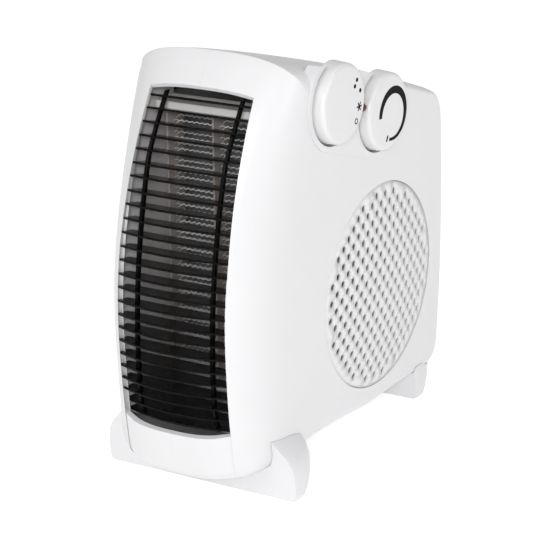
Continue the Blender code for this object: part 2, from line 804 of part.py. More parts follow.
def knob(name, y, z, parent):
    """A thick dial with a rounded rim and a socket for its shaft."""
    profile = [
        (SHAFT_RADIUS + GAP, -KNOB_SUNK),
        (SHAFT_RADIUS + GAP, KNOB_PROUD - 4.0),
        (0, KNOB_PROUD - 4.0),
    ]
    outside = [
        (0, KNOB_PROUD),
        (KNOB_RADIUS - 2.2, KNOB_PROUD),
        (KNOB_RADIUS - 0.8, KNOB_PROUD - 0.6),
        (KNOB_RADIUS, KNOB_PROUD - 2.2),
        (KNOB_RADIUS + 0.5, -KNOB_SUNK + 0.4),
        (KNOB_RADIUS + 0.1, -KNOB_SUNK),
    ]
    place = side_frame(y, z)
    obj = turned(name, outside + profile, 40, "knob_plastic", place)
    return set_origin(obj, side_frame(y, z).translation, parent)


def control_shaft(name, y, z, length, parent):
    profile = [(0, KNOB_PROUD - 4.0 - GAP), (SHAFT_RADIUS, KNOB_PROUD - 4.0 - GAP), (SHAFT_RADIUS, -length), (0, -length)]
    obj = turned(name, profile, 12, "steel", side_frame(y, z))
    return set_origin(obj, side_frame(y, z).translation, parent)


CONTROL_BACK = RECESS_DEPTH + WALL + GAP


def rotary_switch():
    place = side_frame(SWITCH_Y, SWITCH_Z) @ Matrix.Rotation(math.radians(-17.8), 4, "X")
    low = -CONTROL_BACK - 17.0
    body = [(-12.0, -11.0), (12.0, -11.0), (12.0, 6.0), (9.0, 9.0), (-9.0, 9.0), (-12.0, 6.0)]
    obj = prism("rotary_switch", body, low, -CONTROL_BACK, "grey_plastic", "X", place)
    return boolean(obj, shaft_socket("switch_socket_cutter", SWITCH_Y, SWITCH_Z), "DIFFERENCE")


def shaft_socket(name, y, z):
    hole = placed(cylinder_x(SHAFT_RADIUS + GAP, -19.0, 0.0, (0, 0), 12), side_frame(y, z))
    return joined(name, [hole], None)


def thermostat():
    place = side_frame(THERMOSTAT_Y, THERMOSTAT_Z) @ Matrix.Rotation(math.radians(-17.8), 4, "X")
    low = -CONTROL_BACK - 14.0
    obj = box("thermostat", (low, -15.0, -9.0), (-CONTROL_BACK, 15.0, 9.0), "ceramic", place)
    return boolean(obj, shaft_socket("thermostat_socket_cutter", THERMOSTAT_Y, THERMOSTAT_Z), "DIFFERENCE")


def indicator():
    """A small domed lens between the knobs, and the neon lamp behind it."""
    y, z = (SWITCH_Y + THERMOSTAT_Y) / 2, (SWITCH_Z + THERMOSTAT_Z) / 2
    lens = [(0, 5.6), (1.3, 5.2), (LENS_RADIUS, 4.2), (LENS_RADIUS, -8.0), (0, -8.0)]
    turned("indicator_lens", lens, 12, "red_lens", side_frame(y, z))
    neon = [(0, -8.4), (1.6, -9.4), (1.6, -17.0), (0, -18.0)]
    turned("neon_lamp", neon, 10, "glass", side_frame(y, z))


# ---------------------------------------------------------------- duct and heater


def offset_strip(line, thickness):
    """A strip of sheet with one side on the line of (Y, Z) points and the other a thickness to its left."""
    other = []
    for i, point in enumerate(line):
        before, after = Vector(line[max(i - 1, 0)]), Vector(line[min(i + 1, len(line) - 1)])
        along = (after - before).normalized()
        other.append((point[0] - along.y * thickness, point[1] + along.x * thickness))
    return list(line) + other[::-1]


def scroll_line():
    """From the tongue under the duct, round under, behind and over the impeller, and on to the duct's top."""
    line = [(-32.5, 40.0)]
    for i in range(25):
        angle = math.radians(-145 + 235 * i / 24)
        radius = 53.0 + 11.0 * i / 24
        line.append((INTAKE_Y + radius * math.cos(angle), INTAKE_Z + radius * math.sin(angle)))
    return line + [(5.0, 163.0), (-20.0, 176.0), (-32.5, 182.0)]


LINER_SETBACK = 17.5
LINER_BACK_Y = -33.0
LINER_X = 35.6
LINER_THICKNESS = 0.8


def scroll_wall():
    strip = offset_strip(scroll_line(), -1.5)
    return soften(prism("scroll_wall", strip, -10.5, 40.0, "grey_plastic"))


def back_plate():
    """The plate between the impeller and the motor, with a hole for the motor's hub."""
    strip = [(INTAKE_Y + 66 * math.cos(a), INTAKE_Z + 62 * math.sin(a)) for a, _ in
             ((math.radians(-140 + 230 * i / 20), 0) for i in range(21))]
    outline = strip + [(-30.0, 172.0), (-30.0, 60.0)]
    obj = prism("blower_back_plate", outline, -12.6, -11.0, "steel")
    return boolean(obj, joined("back_plate_cutter", [cylinder_x(9.0, -20.0, 0.0, (INTAKE_Y, INTAKE_Z))], None), "DIFFERENCE")


def inlet_ring():
    profile = [(40.0, 41.0), (55.0, 41.0), (55.0, 42.4), (43.5, 42.4), (42.0, 45.5), (40.0, 45.5)]
    place = Matrix.Translation(Vector((0, INTAKE_Y, INTAKE_Z)))
    return turned("inlet_ring", profile, 32, "grey_plastic", place, closed=True)


def duct_liner():
    """A four-sided sheet metal duct round the heater, just behind the outlet's frame."""
    low, high = OUTLET_LOW_Z - 2.0, OUTLET_HIGH_Z - 4.0
    t = LINER_THICKNESS
    heights = [low + (high - low) * i / 12 for i in range(13)]
    front = [(front_y(z) + LINER_SETBACK, z) for z in heights]
    obj = prism("duct_liner", [*front, (LINER_BACK_Y, high), (LINER_BACK_Y, low)], -LINER_X, LINER_X, "aluminium")
    hollow = ((t - LINER_X, NOSE_Y, low + t), (LINER_X - t, LINER_BACK_Y + 5, high - t))
    return boolean(obj, box("duct_liner_cutter", *hollow, None), "DIFFERENCE")


BOARD_FRONT_Y = -53.0
BOARD_BACK_Y = -37.5
HEATER_LOW_Z = 50.0
HEATER_HIGH_Z = 193.0


def heater_boards():
    for name, x in (("left_mica_board", -27.0), ("middle_mica_board", 0.0), ("right_mica_board", 27.0)):
        low = (x - 0.5, BOARD_FRONT_Y, HEATER_LOW_Z)
        box(name, low, (x + 0.5, BOARD_BACK_Y, HEATER_HIGH_Z), "mica")
    for name, z in (("bottom_insulator", HEATER_LOW_Z - 5.3), ("top_insulator", HEATER_HIGH_Z + GAP)):
        box(name, (-33.0, BOARD_FRONT_Y, z), (33.0, BOARD_BACK_Y, z + 5.0), "ceramic")


def heating_element(name, low_x, high_x):
    """One wire that runs back and forth across its half of the heater, from bottom to top."""
    runs = 28
    step = (HEATER_HIGH_Z - HEATER_LOW_Z - 8.0) / runs
    route = []
    for run in range(runs + 1):
        z = HEATER_LOW_Z + 4.0 + step * run
        ends = (low_x, high_x) if run % 2 == 0 else (high_x, low_x)
        y = BOARD_FRONT_Y + (5.0 if run % 2 else 10.0)
        route += [(ends[0], y, z), (ends[1], y, z)]
    return tube(name, route, 0.6, "heating_wire", 1)


def thermal_parts():
    """The self-resetting cut-out and the one-shot fuse, on the duct's left side."""
    wall = Matrix.Translation((-LINER_X - GAP, -42.0, 184.0)) @ Matrix.Rotation(math.pi, 4, "Z")
    turned("thermal_cutout", [(0, 0), (7.0, 0), (7.0, 3.5), (4.0, 5.4), (0, 5.4)], 20, "ceramic", wall)
    upright = Matrix.Translation((-LINER_X - 2.0, -42.0, 168.0)) @ Matrix.Rotation(math.pi / 2, 4, "Y")
    turned("thermal_fuse", [(0, -6.0), (1.6, -5.0), (1.6, 5.0), (0, 6.0)], 10, "steel", upright)


# ---------------------------------------------------------------- blower


def fan_place():
    return Matrix.Translation(Vector((0, INTAKE_Y, INTAKE_Z)))


def impeller(parent):
    """A squirrel cage: back disc with hub, two shrouds' worth of blades and a front ring."""
    hub = [
        (MOTOR_SHAFT_RADIUS + GAP, FAN_LEFT_X),
        (FAN_RADIUS, FAN_LEFT_X),
        (FAN_RADIUS, FAN_LEFT_X + 1.6),
        (8.0, FAN_LEFT_X + 2.4),
        (8.0, FAN_LEFT_X + 14.0),
        (MOTOR_SHAFT_RADIUS + GAP, FAN_LEFT_X + 14.0),
    ]
    ring = [
        (FAN_INNER_RADIUS, FAN_RIGHT_X - 2.0),
        (FAN_RADIUS, FAN_RIGHT_X - 2.0),
        (FAN_RADIUS, FAN_RIGHT_X),
        (FAN_INNER_RADIUS, FAN_RIGHT_X),
    ]
    segments = 24
    obj = joined("impeller", [turned_data(hub, segments, True), turned_data(ring, segments, True)], "grey_plastic", fan_place())
    blades = []
    for number in range(FAN_BLADES):
        turn = 2 * math.pi * (number + 0.37) / FAN_BLADES
        curve = []
        for i in range(4):
            share = i / 3
            radius = FAN_INNER_RADIUS + 0.8 + (FAN_RADIUS - FAN_INNER_RADIUS - 1.6) * share
            angle = turn + 0.10 * share**2
            curve.append((radius * math.cos(angle), radius * math.sin(angle)))
        blades.append(prism_data(offset_strip(curve, 1.0), FAN_LEFT_X + 0.8, FAN_RIGHT_X - 1.0, "X"))
    boolean(obj, joined("blade_addition", blades, None, fan_place()), "UNION")
    soften(obj)
    return set_origin(obj, (0, INTAKE_Y, INTAKE_Z), parent)


def motor_shaft(parent):
    profile = [(0, -43.0), (MOTOR_SHAFT_RADIUS, -42.0), (MOTOR_SHAFT_RADIUS, 5.0), (0, 6.0)]
    return set_origin(turned("motor_shaft", profile, 16, "steel", fan_place()), (0, INTAKE_Y, INTAKE_Z), parent)


def rotor(parent):
    bore = MOTOR_SHAFT_RADIUS + GAP
    profile = [(bore, -34.0), (ROTOR_RADIUS, -34.0), (ROTOR_RADIUS, -20.0), (bore, -20.0)]
    obj = turned("rotor", profile, 20, "steel", fan_place(), closed=True)
    return set_origin(obj, (0, INTAKE_Y, INTAKE_Z), parent)


def stator():
    """The laminated C frame of a shaded pole motor, with the coil's leg along its bottom."""
    outline = [(-25.0, -38.0), (25.0, -38.0), (25.0, 20.0), (-25.0, 20.0)]
    obj = prism("stator_laminations", outline, -33.5, -20.5, "steel", "X", fan_place())
    window = prism_data([(-17.0, -31.0), (17.0, -31.0), (17.0, -18.0), (-17.0, -18.0)], -40.0, -10.0, "X")
    bore = cylinder_x(ROTOR_RADIUS + 0.5, -40.0, -10.0, (0, 0), 20)
    return boolean(obj, joined("stator_cutter", [window, bore], None, fan_place()), "DIFFERENCE")


def winding():
    """The coil wound round the stator's lower leg."""
    outer = [(-39.0, -44.0), (-15.0, -44.0), (-15.0, -25.0), (-39.0, -25.0)]
    inner = [(-33.8, -38.3), (-20.2, -38.3), (-20.2, -30.7), (-33.8, -30.7)]
    obj = prism("motor_winding", outer, -14.0, 14.0, "copper", "Y", fan_place())
    return boolean(obj, prism("winding_cutter", inner, -20.0, 20.0, None, "Y", fan_place()), "DIFFERENCE")


def bearing_brackets():
    """Two straps across the stator's faces, each holding a bush."""
    for name, face, out in (("front_bearing_bracket", -20.2, 1), ("rear_bearing_bracket", -33.8, -1)):
        reach, inner = face + out * 4.0, face + out * 2.6
        outline = [(face, -22.0), (face, -19.0), (inner, -19.0), (inner, 19.0)]
        outline += [(face, 19.0), (face, 22.0), (reach, 22.0), (reach, -22.0)]
        obj = prism(name, outline, -7.0, 7.0, "aluminium", "Z", fan_place())
        hole = cylinder_x(5.0 + GAP, -50.0, 0.0, (0, 0), 16)
        boolean(obj, joined(name + "_cutter", [hole], None, fan_place()), "DIFFERENCE")
    for name, low, high in (("front_bearing_bush", -18.6, -15.0), ("rear_bearing_bush", -39.0, -35.4)):
        bore = MOTOR_SHAFT_RADIUS + GAP
        profile = [(bore, low), (5.0, low), (5.0, high), (bore, high)]
        turned(name, profile, 16, "brass", fan_place(), closed=True)


def motor_standoffs():
    """Two pillars that hold the motor's front bracket off the back plate."""
    for number, y in enumerate((-20.5, 20.5), 1):
        profile = [(0, -15.9), (2.6, -15.9), (2.6, -12.9), (0, -12.9)]
        turned(f"motor_standoff_{number}", profile, 12, "steel", fan_place() @ Matrix.Translation((0, y, 0)))


def terminal_block():
    box("terminal_block", (-46.0, 44.0, 158.0), (-16.0, 60.0, 168.0), "ceramic")


def leads():
    """Three of the leads that join the controls, the heater and the terminal block."""
    routes = {
        "lead_to_switch": (
            ((-22.0, 50.0, 169.4), (-18.0, 44.0, 178.0), (0.0, 20.0, 190.0), (12.0, -4.0, 200.0), (23.0, -12.0, 203.0)),
            "insulation_red",
        ),
        "lead_to_cutout": (
            ((-32.0, 50.0, 169.4), (-30.0, 40.0, 180.0), (-34.0, 0.0, 196.0), (-38.5, -28.0, 198.0), (-39.5, -40.0, 192.8)),
            "insulation_blue",
        ),
    }
    for name, (knots, slot) in routes.items():
        tube(name, smooth_route(knots, 6), 1.1, slot, 1)


def main():
    clear_scene()
    body_envelope("foot_fit_cutter", GAP)
    body_envelope("boss_limit_cutter", -1.1)
    left_casing()
    right_casing()
    intake_grille()
    outlet_grille()
    foot("front_foot", FRONT_FOOT_Y, False)
    foot("rear_foot", REAR_FOOT_Y, True)
    casing_screws()
    foot_screws()
    switch_axis = control_empty("switch_axis", SWITCH_Y, SWITCH_Z)
    knob("switch_knob", SWITCH_Y, SWITCH_Z, switch_axis)
    control_shaft("switch_shaft", SWITCH_Y, SWITCH_Z, 18.0, switch_axis)
    thermostat_axis = control_empty("thermostat_axis", THERMOSTAT_Y, THERMOSTAT_Z)
    knob("thermostat_knob", THERMOSTAT_Y, THERMOSTAT_Z, thermostat_axis)
    control_shaft("thermostat_shaft", THERMOSTAT_Y, THERMOSTAT_Z, 15.0, thermostat_axis)
    rotary_switch()
    thermostat()
    indicator()
    scroll_wall()
    back_plate()
    inlet_ring()
    duct_liner()
    heater_boards()
    heating_element("left_heating_element", -25.5, -1.5)
    heating_element("right_heating_element", 1.5, 25.5)
    thermal_parts()
    fan_axis = bpy.data.objects.new("fan_axis", None)
    bpy.context.collection.objects.link(fan_axis)
    fan_axis.location = Vector((0, INTAKE_Y, INTAKE_Z)) * MM
    impeller(fan_axis)
    motor_shaft(fan_axis)
    rotor(fan_axis)
    stator()
    winding()
    bearing_brackets()
    motor_standoffs()
    terminal_block()
    cord_gland()
    leads()


main()
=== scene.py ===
"""Looks of the fan convector heater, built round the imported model.

Lengths are in millimetres and angles in degrees until they reach a mesh, which is in metres.
The casing, grilles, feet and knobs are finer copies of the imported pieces. The heating wires keep to
their packed space, but are thinner, crimped and make more runs.
"""

import json
import math

import bmesh
import bpy
from mathutils import Matrix, Vector

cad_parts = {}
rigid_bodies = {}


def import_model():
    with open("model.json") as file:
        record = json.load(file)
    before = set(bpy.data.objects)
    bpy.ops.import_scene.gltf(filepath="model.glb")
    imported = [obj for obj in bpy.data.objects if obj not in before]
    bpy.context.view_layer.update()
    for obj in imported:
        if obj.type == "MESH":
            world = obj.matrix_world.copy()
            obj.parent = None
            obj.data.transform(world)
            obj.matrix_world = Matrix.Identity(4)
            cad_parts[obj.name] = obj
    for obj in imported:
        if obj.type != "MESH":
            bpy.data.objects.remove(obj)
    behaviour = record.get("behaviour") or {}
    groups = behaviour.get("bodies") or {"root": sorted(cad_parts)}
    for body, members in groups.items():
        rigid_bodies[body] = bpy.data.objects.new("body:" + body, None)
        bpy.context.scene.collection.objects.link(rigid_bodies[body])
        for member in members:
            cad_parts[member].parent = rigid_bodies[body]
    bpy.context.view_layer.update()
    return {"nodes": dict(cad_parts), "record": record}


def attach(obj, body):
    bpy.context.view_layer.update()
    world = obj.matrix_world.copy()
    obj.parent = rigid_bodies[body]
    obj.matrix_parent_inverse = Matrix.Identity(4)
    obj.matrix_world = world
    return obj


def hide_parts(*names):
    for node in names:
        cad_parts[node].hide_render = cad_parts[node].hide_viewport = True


MM = 0.001
# The gap between pieces that rest on or in each other.
GAP = 0.3
# How far a cutter runs past a sloping or curved surface, and past a flat one.
CLEAR = 20.0
CLEAR_OF_FLAT = 1.0

# Casing, seen from its side: four bowed edges joined by round corners.
NOSE_Y = -105.6
NOSE_Z = 94.9
NOSE_RADIUS_ABOVE = 170.6
NOSE_RADIUS_BELOW = 331.0
FRONT_LOW_Z = 19.3
FRONT_HIGH_Z = 222.2
TOP_EDGE = ((-53.6, 227.8), (19.5, 211.1), (92.6, 183.1))
REAR_EDGE = ((102.8, 166.4), (108.2, 98.0), (104.3, 27.1))
BOTTOM_EDGE = ((88.3, 13.3), (4.3, 10.2), (-79.7, 10.2))
WALL = 2.5

# The flat sides spread apart towards the rear.
SIDE_AT_ORIGIN = 51.1
SIDE_FLARE = 3.8
# The closed side swells out a little round its middle, where its rings end round a small hub.
SIDE_SWELL = 1.2
CLOSED_HUB_RADIUS = 12.0
# How far in from the outline the side is still curving, by direction.
ROUND_FRONT = 50.0
ROUND_TOP = 7.6
ROUND_REAR = 3.6
ROUND_BOTTOM = 10.0
ROUND_TOP_FRONT = 12.4
ROUND_POWER = 2.8

# Intake, on the +X side.
INTAKE_Y = 31.7
INTAKE_Z = 84.8
INTAKE_RADIUS = 57.2
INTAKE_TILT = -5.8
INTAKE_PITCH = 9.3
INTAKE_HOLE_RADIUS = 2.0
INTAKE_FIELD_RADIUS = 52.5
INTAKE_DOME = 3.2
INTAKE_LIP = 0.7
INTAKE_CUT_DEPTH = 9.0
GRILLE_THICKNESS = 2.0
GRILLE_SUNK = 0.2

# Outlet, on the front.
OUTLET_HALF_WIDTH = 33.6
OUTLET_NARROWING = 0.024
OUTLET_LOW_Z = 39.0
OUTLET_HIGH_Z = 212.0
SLAT_COUNT = 25
SLAT_LOW_Z = 43.0
SLAT_HIGH_Z = 205.0
SLAT_THICKNESS = 1.1
SLAT_RECESS_TOP = 3.0
SLAT_RECESS_TOP_Z = 150.0
SLAT_RECESS_BOTTOM = 5.0
SLAT_RECESS_BOTTOM_Z = 75.0
SLAT_END_GAP = 0.5
SLAT_EDGE_RADIUS = 0.25
SLAT_DEPTH = 17.0
SLAT_REAR_LIMIT_Y = -54.5
SLAT_TILT_LOW = 8.0
SLAT_TILT_HIGH = 16.0
RIB_X = 21.9
RIB_THICKNESS = 1.6
RIB_FRONT_Y = -96.2
RIB_FRONT_Z = 80.0
RIB_RADIUS = 300.0
RIB_DEPTH = 3.0
RIB_BELOW_SLATS = 2.3
RIB_EXTRA_HEIGHT = 3.6
RIB_BEHIND_SLATS = 4.6

# Controls.
KNOB_RADIUS = 20.8
KNOB_RIM_RADIUS = 2.4
KNOB_FACE_THICKNESS = 4.0
KNOB_PROUD = 6.6
KNOB_SUNK = 3.6
KNOB_FLARE = 0.5
KNOB_CHAMFER = 0.4
SWITCH_Y = -17.5
SWITCH_Z = 198.3
THERMOSTAT_Y = 28.1
THERMOSTAT_Z = 183.7
POD_RADIUS = 25.5
POD_PROUD = 0.8
POD_MARGIN = 2.5
RECESS_RADIUS = 22.4
RECESS_DEPTH = 4.2
SHAFT_RADIUS = 3.0
SHAFT_CLEARANCE = 1.0
LENS_RADIUS = 2.1

# Printed marks, placed on a knob's face by (along, up) from its axis.
INK_THICKNESS = 0.06
INK_SUNK = 0.02
DOT_RADIUS = 1.15
DOTS = ((11.5, 10.1), (9.5, 7.2), (14.9, 3.9))
FAN_SIGN = (14.0, -4.3)
FAN_SIGN_LENGTH = 5.0
FAN_SIGN_WIDTH = 0.8
OFF_RING = (11.1, -11.4)
OFF_RING_INNER = 1.0
OFF_RING_OUTER = 1.6
OFF_RING_SUNK = 0.01
ARC_CENTRE = (3.9, -2.2)
ARC_RADIUS = 13.2
ARC_START = 178.0
ARC_END = -106.0
ARC_WIDTH = 1.7
ARC_SWELL = 2.4
ARC_SWELL_START = 0.22
ARC_SWELL_SPAN = 0.8
ARC_SWELL_POWER = 1.3
DASH = (-2.0, -14.0)
DASH_LENGTH = 3.4
DASH_WIDTH = 1.3
DASH_ANGLE = 62.0

# Feet.
FOOT_HALF_LENGTH = 57.6
FRONT_FOOT_Y = -72.0
REAR_FOOT_Y = 75.4
FOOT_FRONT_PINCH = 1.0
FOOT_REAR_PINCH = 2.6
FOOT_SCREW_X = 30.0
FOOT_SCREW_SETBACK = 5.5
FOOT_SCREW_HOLE_RADIUS = 2.2
FOOT_SCREW_HEAD_RADIUS = 4.2
FOOT_SCREW_SEAT_Z = 4.0
FOOT_SCREW_TOP_Z = 30.0

# Screws that hold the casing's halves together, by (Y, Z), and the cord gland.
BOSSES = ((-47.0, 213.0), (86.0, 160.0), (84.0, 32.0), (-42.0, 26.5))
BOSS_RADIUS = 4.6
BOSS_REACH = 65.0
BOSS_SUNK = 1.1
SCREW_RADIUS = 2.0
SCREW_PILOT_DEPTH = 16.0
SCREW_HEAD_RADIUS = 3.6
SCREW_HEAD_SEAT = 12.0
SCREW_CUT_REACH = 60.0
GLAND_X = -22.0
GLAND_Z = 148.0
GLAND_RADIUS = 6.0
GLAND_CUT_LOW_Y = 90.0
GLAND_CUT_HIGH_Y = 120.0

# Heating wires, one on each side of the middle board.
BOARD_FRONT_Y = -53.0
HEATER_LOW_Z = 50.0
HEATER_HIGH_Z = 193.0
ELEMENT_INNER_X = 1.4
ELEMENT_OUTER_X = 25.8
ELEMENT_ROWS = 91
ELEMENT_MARGIN = 4.0
ELEMENT_FRONT_ROW = 5.0
ELEMENT_REAR_ROW = 10.0
ELEMENT_CRIMPS = 16
ELEMENT_CRIMP_LIFT = 0.3
ELEMENT_CRIMP_SLANT = 1.2
ELEMENT_WIRE_RADIUS = 0.27

# How finely the curved pieces are divided.
EDGE_STEPS = 24
CORNER_STEPS = 8
OUTLET_STEPS = 48
OUTLET_EDGE_PASSES = 6
# The casing's rings of points, as shares of its half width. None is the ring on the outlet's edge.
SHARES = (
    0.0, 0.11, 0.22, 0.33, 0.44, 0.54, None, 0.7, 0.735, 0.77, 0.8, 0.83,
    0.86, 0.885, 0.91, 0.93, 0.95, 0.967, 0.98, 0.989, 0.995, 0.998, 0.9995, 1.0,
)
OPENING_RING = SHARES.index(None)
FACE_RINGS = 8
# Fewer rings for the helper that the feet and bosses are fitted to.
FIT_SHARES = (0.0, 0.35, None, 0.8, 0.91, 0.97, 0.995, 1.0)
FIT_HUB_RADIUS = 20.0
# Points of the outline no further than this behind the nose belong to the front.
FRONT_REACH = 45.0
# Heights this close to each other count as the same.
SAME_HEIGHT = 0.01
# A second point on the tangent at an end of the front edge is this far from the end in height.
TANGENT_RUN = 10
POD_STEPS = 32
SCREW_STEPS = 12
SHAFT_STEPS = 32
GLAND_STEPS = 48
DOT_STEPS = 20
OFF_RING_STEPS = 24
GRILLE_STEPS = 128
HOLE_STEPS = 16
SLAT_STEPS = 20
SLAT_CURVE_STEPS = 400
RIB_STEPS = 40
FOOT_STEPS = 16
KNOB_STEPS = 96
RIM_STEPS = 8
ARC_STEPS = 64
# The gap between the casing's halves, which hardly shows.
SEAM = 0.03
# Edges that turn by more than this stay sharp.
SHARP_ANGLE = 35
CASING_SHARP_ANGLE = 32
SLAT_SHARP_ANGLE = 40

# Camera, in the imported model's frame. Its place is in metres.
CAMERA_PLACE = Vector((0.4615, -0.8321, 0.4417))
CAMERA_AZIMUTH = 28.71
CAMERA_PITCH = 20.19
CAMERA_ROLL = -0.46
CAMERA_LENS = 122.46
CAMERA_SENSOR = 36

# Lamps: name, place, diameter and power, in metres and watts. All of them face a point in the heater.
LAMPS = (
    ("key", (-0.7, -1.8, 1.3), 1.3, 11.0),
    ("front", (0.75, -1.5, 0.75), 0.4, 15.0),
    ("side", (1.9, -0.2, 1.1), 1.2, 9.0),
    ("top", (0.0, 0.3, 2.2), 1.6, 6.0),
)
LAMP_TARGET = Vector((0, 0, 0.1))
SKY_STRENGTH = 0.5
FLOOR_SIZE = 12
FLOOR_DROP = 0.0002
FLOOR_SHADE = 0.93
FLOOR_ROUGHNESS = 0.9
FLOOR_GLOW = 0.35

# Noise in the finishes: how much coarser the mottling is than the grain, and the spread of the gloss.
MOTTLE_COARSENESS = 12
MOTTLE_LOW = 0.35
MOTTLE_HIGH = 0.65
GLOSS_LOW = 0.85
GLOSS_HIGH = 1.2
# What only some finishes have.
BLACK_SPECULAR = 0.06
GLASS_CLEARNESS = 0.8
LENS_GLOW_COLOUR = (1.0, 0.1, 0.08, 1.0)
LENS_GLOW = 0.03

# Finish: colour, second colour, share of the second, roughness, metallic, grain in mm, bump in mm and
# stretch along X.
FINISHES = {
    "white_body": ((0.6, 0.6, 0.608), (0.575, 0.577, 0.585), 0.25, 0.32, 0.0, 1.5, 0.004, 1.0),
    "knob_plastic": ((0.6, 0.6, 0.603), (0.575, 0.575, 0.578), 0.2, 0.3, 0.0, 1.5, 0.003, 1.0),
    "black_slats": ((0.003, 0.003, 0.003), (0.008, 0.008, 0.008), 0.4, 0.2, 0.0, 0.5, 0.006, 1.0),
    "steel": ((0.6, 0.6, 0.6), (0.45, 0.45, 0.46), 0.5, 0.32, 1.0, 0.8, 0.03, 6.0),
    "duct_sheet": ((0.9, 0.88, 0.88), (0.82, 0.8, 0.8), 0.5, 0.42, 0.1, 1.5, 0.03, 8.0),
    "mica": ((0.5, 0.455, 0.43), (0.36, 0.32, 0.3), 0.6, 0.4, 0.0, 4.0, 0.05, 1.0),
    "ceramic": ((0.85, 0.84, 0.82), (0.72, 0.7, 0.67), 0.4, 0.55, 0.0, 1.0, 0.05, 1.0),
    "heating_wire": ((0.98, 0.97, 0.96), (0.8, 0.78, 0.76), 0.6, 0.3, 0.0, 2.5, 0.02, 1.0),
    "copper": ((0.7, 0.33, 0.16), (0.5, 0.2, 0.09), 0.5, 0.35, 1.0, 1.0, 0.04, 4.0),
    "brass": ((0.75, 0.58, 0.25), (0.6, 0.44, 0.18), 0.5, 0.32, 1.0, 1.0, 0.03, 3.0),
    "lens": ((0.06, 0.012, 0.01), (0.1, 0.02, 0.018), 0.5, 0.12, 0.0, 1.0, 0.01, 1.0),
    "lamp_glass": ((0.8, 0.8, 0.8), (0.7, 0.72, 0.72), 0.3, 0.08, 0.0, 2.0, 0.01, 1.0),
    "grey_plastic": ((0.2, 0.2, 0.21), (0.14, 0.14, 0.15), 0.5, 0.45, 0.0, 0.6, 0.04, 1.0),
    "gland_rubber": ((0.03, 0.03, 0.03), (0.05, 0.05, 0.05), 0.5, 0.65, 0.0, 0.8, 0.06, 1.0),
    "red_lead": ((0.5, 0.05, 0.04), (0.38, 0.03, 0.03), 0.4, 0.5, 0.0, 0.8, 0.03, 1.0),
    "blue_lead": ((0.02, 0.03, 0.09), (0.015, 0.02, 0.06), 0.4, 0.5, 0.0, 0.8, 0.03, 1.0),
    "ink": ((0.002, 0.002, 0.002), (0.006, 0.006, 0.006), 0.3, 0.5, 0.0, 0.4, 0.002, 1.0),
}

# ---------------------------------------------------------------- materials


def material(slot):
    """A finish made once: two colours mixed by soft noise, uneven gloss, and a fine bump."""
    name = "look_" + slot
    if name in bpy.data.materials:
        return bpy.data.materials[name]
    colour, second, share, roughness, metallic, grain, bump, stretch = FINISHES[slot]
    made = bpy.data.materials.new(name)
    made.use_nodes = True
    nodes, links = made.node_tree.nodes, made.node_tree.links
    shader = nodes["Principled BSDF"]
    place = nodes.new("ShaderNodeTexCoord")
    spread = nodes.new("ShaderNodeMapping")
    spread.inputs["Scale"].default_value = (1.0 / stretch, 1.0, 1.0)
    links.new(place.outputs["Object"], spread.inputs["Vector"])
    mottle = nodes.new("ShaderNodeTexNoise")
    mottle.inputs["Scale"].default_value = 1.0 / (grain * MOTTLE_COARSENESS * MM)
    mottle.inputs["Detail"].default_value = 4.0
    links.new(spread.outputs["Vector"], mottle.inputs["Vector"])
    fine = nodes.new("ShaderNodeTexNoise")
    fine.inputs["Scale"].default_value = 1.0 / (grain * MM)
    fine.inputs["Detail"].default_value = 3.0
    links.new(spread.outputs["Vector"], fine.inputs["Vector"])
    mixing = nodes.new("ShaderNodeMapRange")
    mixing.inputs["From Min"].default_value = MOTTLE_LOW
    mixing.inputs["From Max"].default_value = MOTTLE_HIGH
    mixing.inputs["To Max"].default_value = share
    links.new(mottle.outputs["Fac"], mixing.inputs["Value"])
    mix = nodes.new("ShaderNodeMix")
    mix.data_type = "RGBA"
    mix.inputs["A"].default_value = (*colour, 1.0)
    mix.inputs["B"].default_value = (*second, 1.0)
    links.new(mixing.outputs["Result"], mix.inputs["Factor"])
    links.new(mix.outputs["Result"], shader.inputs["Base Color"])
    gloss = nodes.new("ShaderNodeMapRange")
    gloss.inputs["To Min"].default_value = roughness * GLOSS_LOW
    gloss.inputs["To Max"].default_value = roughness * GLOSS_HIGH
    links.new(mottle.outputs["Fac"], gloss.inputs["Value"])
    links.new(gloss.outputs["Result"], shader.inputs["Roughness"])
    shader.inputs["Metallic"].default_value = metallic
    raised = nodes.new("ShaderNodeBump")
    raised.inputs["Strength"].default_value = 1.0
    raised.inputs["Distance"].default_value = bump * MM
    links.new(fine.outputs["Fac"], raised.inputs["Height"])
    links.new(raised.outputs["Normal"], shader.inputs["Normal"])
    if slot in ("black_slats", "ink"):
        shader.inputs["Specular IOR Level"].default_value = BLACK_SPECULAR
    if slot == "lamp_glass":
        shader.inputs["Transmission Weight"].default_value = GLASS_CLEARNESS
    if slot == "lens":
        shader.inputs["Emission Color"].default_value = LENS_GLOW_COLOUR
        shader.inputs["Emission Strength"].default_value = LENS_GLOW
    return made


# ---------------------------------------------------------------- helpers


def new_object(name, points, faces, slot, place=None):
    """A mesh object from points in millimetres, moved by place, a matrix in millimetres."""
    mesh = bpy.data.meshes.new(name)
    if place:
        points = [place @ Vector(point) for point in points]
    mesh.from_pydata([Vector(point) * MM for point in points], [], faces)
    cleaned = bmesh.new()
    cleaned.from_mesh(mesh)
    bmesh.ops.recalc_face_normals(cleaned, faces=cleaned.faces)
    cleaned.to_mesh(mesh)
    cleaned.free()
    if slot:
        mesh.materials.append(material(slot))
    obj = bpy.data.objects.new(name, mesh)
    bpy.context.collection.objects.link(obj)
    return obj


def soften(obj, angle=SHARP_ANGLE):
    """Smooth shading, with the edges that turn by more than the angle kept sharp."""
    obj.data.shade_smooth()
    obj.data.set_sharp_from_angle(angle=math.radians(angle))
    return obj


